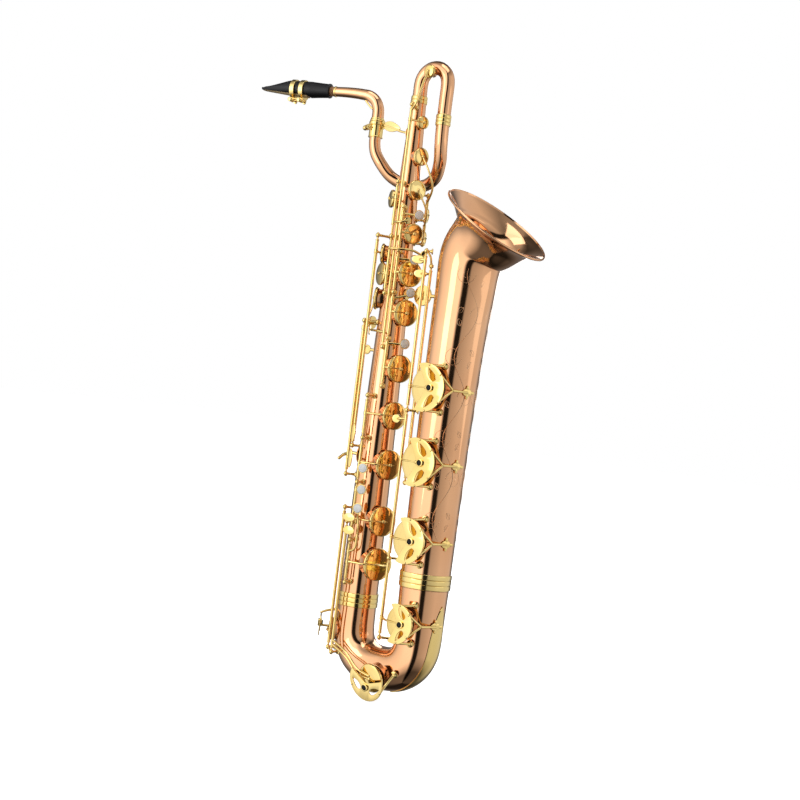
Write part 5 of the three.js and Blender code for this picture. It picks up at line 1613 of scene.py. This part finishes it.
@dataclass
class Studio:
    """The floor, the soft lights round the instrument, the sky and the camera."""

    azimuth: float = 37.4
    distance: float = 2.6
    roll: float = 7.0
    lens: float = 71.0
    aim: tuple[float, float, float] = (0.0822, 0.0, -0.0776)
    floor_size: float = 30.0
    sky_strength: float = 1.6
    walls: tuple = (
        (-180, 0.12), (-152, 0.08), (-128, 0.25), (-100, 0.7), (-60, 0.95), (-22, 1.0), (-13, 0.01),
        (4, 0.01), (10, 0.32), (58, 0.50), (125, 0.48), (150, 0.08), (180, 0.12))
    heights: tuple = ((-1, 0.12), (-0.85, 0.12), (-0.7, 0.5), (-0.5, 0.9), (0, 1.0), (0.6, 1.0),
                      (0.85, 0.35), (1, 0.5))

    def floor(self) -> None:
        """A pale floor under the bow."""
        low = CAD_BOX[0][2]
        bpy.ops.mesh.primitive_plane_add(size=self.floor_size, location=(0, 0, low - 0.002))
        plane = bpy.context.object
        plane.name = "studio_floor"
        material = bpy.data.materials.new("studio_floor_paint")
        material.use_nodes = True
        tree = material.node_tree
        shader = tree.nodes["Principled BSDF"]
        shader.inputs["Base Color"].default_value = (0.9, 0.9, 0.9, 1)
        shader.inputs["Roughness"].default_value = 0.9
        shader.inputs["Emission Color"].default_value = (1, 1, 1, 1)
        shader.inputs["Emission Strength"].default_value = 0.8
        dim = add_node(tree, "ShaderNodeBsdfDiffuse", Color=(0.22, 0.22, 0.22, 1))
        path = add_node(tree, "ShaderNodeLightPath")
        mix = add_node(tree, "ShaderNodeMixShader")
        join(path, "Is Camera Ray", mix, "Fac")
        join(dim, 0, mix, 1)
        join(shader, 0, mix, 2)
        join(mix, 0, tree.nodes["Material Output"], "Surface")
        plane.data.materials.append(material)
        plane.visible_glossy = False

    def sky(self) -> None:
        """An even pale surround that the camera sees as white and the metal as a dim room."""
        world = bpy.data.worlds.new("studio_world")
        bpy.context.scene.world = world
        world.use_nodes = True
        tree = world.node_tree
        back = tree.nodes["Background"]
        seen = add_node(tree, "ShaderNodeBackground", Color=(1, 1, 1, 1), Strength=1.0)
        path = add_node(tree, "ShaderNodeLightPath")
        mix = add_node(tree, "ShaderNodeMixShader")
        place = add_node(tree, "ShaderNodeTexCoord")
        turn = add_node(tree, "ShaderNodeMapping")
        turn.inputs["Rotation"].default_value[2] = math.radians(90 - self.azimuth)
        around = add_node(tree, "ShaderNodeTexGradient", gradient_type="RADIAL")
        walls = self._ramp(tree, [(offset / 360 + 0.5, level) for offset, level in self.walls])
        split = add_node(tree, "ShaderNodeSeparateXYZ")
        raise_up = add_node(tree, "ShaderNodeMath", operation="MULTIPLY_ADD")
        raise_up.inputs[1].default_value = raise_up.inputs[2].default_value = 0.5
        heights = self._ramp(tree, [((z + 1) / 2, level) for z, level in self.heights])
        both = add_node(tree, "ShaderNodeMix", data_type="RGBA", blend_type="MULTIPLY")
        both.inputs["Factor"].default_value = 1.0
        back.inputs["Strength"].default_value = self.sky_strength
        join(place, "Generated", turn, "Vector")
        join(turn, "Vector", around, "Vector")
        join(around, "Fac", walls, "Fac")
        join(place, "Generated", split, "Vector")
        join(split, "Z", raise_up, 0)
        join(raise_up, 0, heights, "Fac")
        join(walls, "Color", both, "A")
        join(heights, "Color", both, "B")
        join(both, "Result", back, "Color")
        join(path, "Is Camera Ray", mix, "Fac")
        join(back, 0, mix, 1)
        join(seen, 0, mix, 2)
        join(mix, 0, tree.nodes["World Output"], "Surface")

    def _ramp(self, tree: bpy.types.NodeTree, stops: Sequence[tuple[float, float]]) -> bpy.types.Node:
        """A grey ramp through some places and levels."""
        ramp = add_node(tree, "ShaderNodeValToRGB")
        elements = ramp.color_ramp.elements
        elements.remove(elements[1])
        elements[0].position, level = stops[0]
        elements[0].color = (level, level, level, 1)
        for place, level in stops[1:]:
            elements.new(place).color = (level, level, level, 1)
        return ramp

    def softbox(self, name: str, azimuth: float, height: float, far: float,
                size: tuple[float, float], power: float) -> None:
        """A soft light that faces the instrument from an azimuth."""
        a = math.radians(azimuth)
        data = bpy.data.lights.new(name, "AREA")
        data.shape = "RECTANGLE"
        data.size, data.size_y = size
        data.energy = power
        light = bpy.data.objects.new(name, data)
        centre = Vector(self.aim)
        light.location = centre + Vector((math.sin(a) * far, -math.cos(a) * far, height))
        light.rotation_euler = (centre - light.location).to_track_quat("-Z", "Z").to_euler()
        bpy.context.scene.collection.objects.link(light)

    def lights(self) -> None:
        """Tall soft lights on both sides, behind and above."""
        a = self.azimuth
        self.softbox("left_light", a - 55, 0.5, 2.2, (0.9, 1.6), 6)
        self.softbox("right_light", a + 70, 0.4, 2.2, (0.9, 1.8), 2)
        self.softbox("back_light", a + 170, 0.8, 2.4, (1.2, 1.6), 12)
        self.softbox("top_light", a, 2.6, 0.6, (1.5, 1.5), 12)

    def camera(self) -> None:
        """The camera, level and turned a little so that the instrument leans."""
        a = math.radians(self.azimuth)
        data = bpy.data.cameras.new("view")
        data.lens = self.lens
        data.sensor_width = 36
        camera = bpy.data.objects.new("view", data)
        bpy.context.scene.collection.objects.link(camera)
        away = Vector((math.sin(a), -math.cos(a), 0))
        camera.location = Vector(self.aim) + away * self.distance
        right = Vector((math.cos(a), math.sin(a), 0))
        lean = math.radians(self.roll)
        x = right * math.cos(lean) + Z * math.sin(lean)
        y = Z * math.cos(lean) - right * math.sin(lean)
        turn = Matrix((x, y, away)).transposed()
        camera.rotation_mode = "QUATERNION"
        camera.rotation_quaternion = turn.to_quaternion()
        bpy.context.scene.camera = camera

    def build(self) -> None:
        """Makes the whole studio."""
        scene = bpy.context.scene
        scene.view_settings.view_transform = "Standard"
        self.floor()
        self.sky()
        self.lights()
        self.camera()


def main() -> None:
    """Builds the studio and the instrument in order."""
    logging.basicConfig(level=logging.INFO, format="%(message)s")
    Studio().build()
    for part in (Tubes(), Engraving(), Neck(), Fittings(), Stacks(), UpperKeys(), LowKeys(), Guards()):
        part.build()
        log.info("built %s", type(part).__name__)


if __name__ == "__main__":
    main()
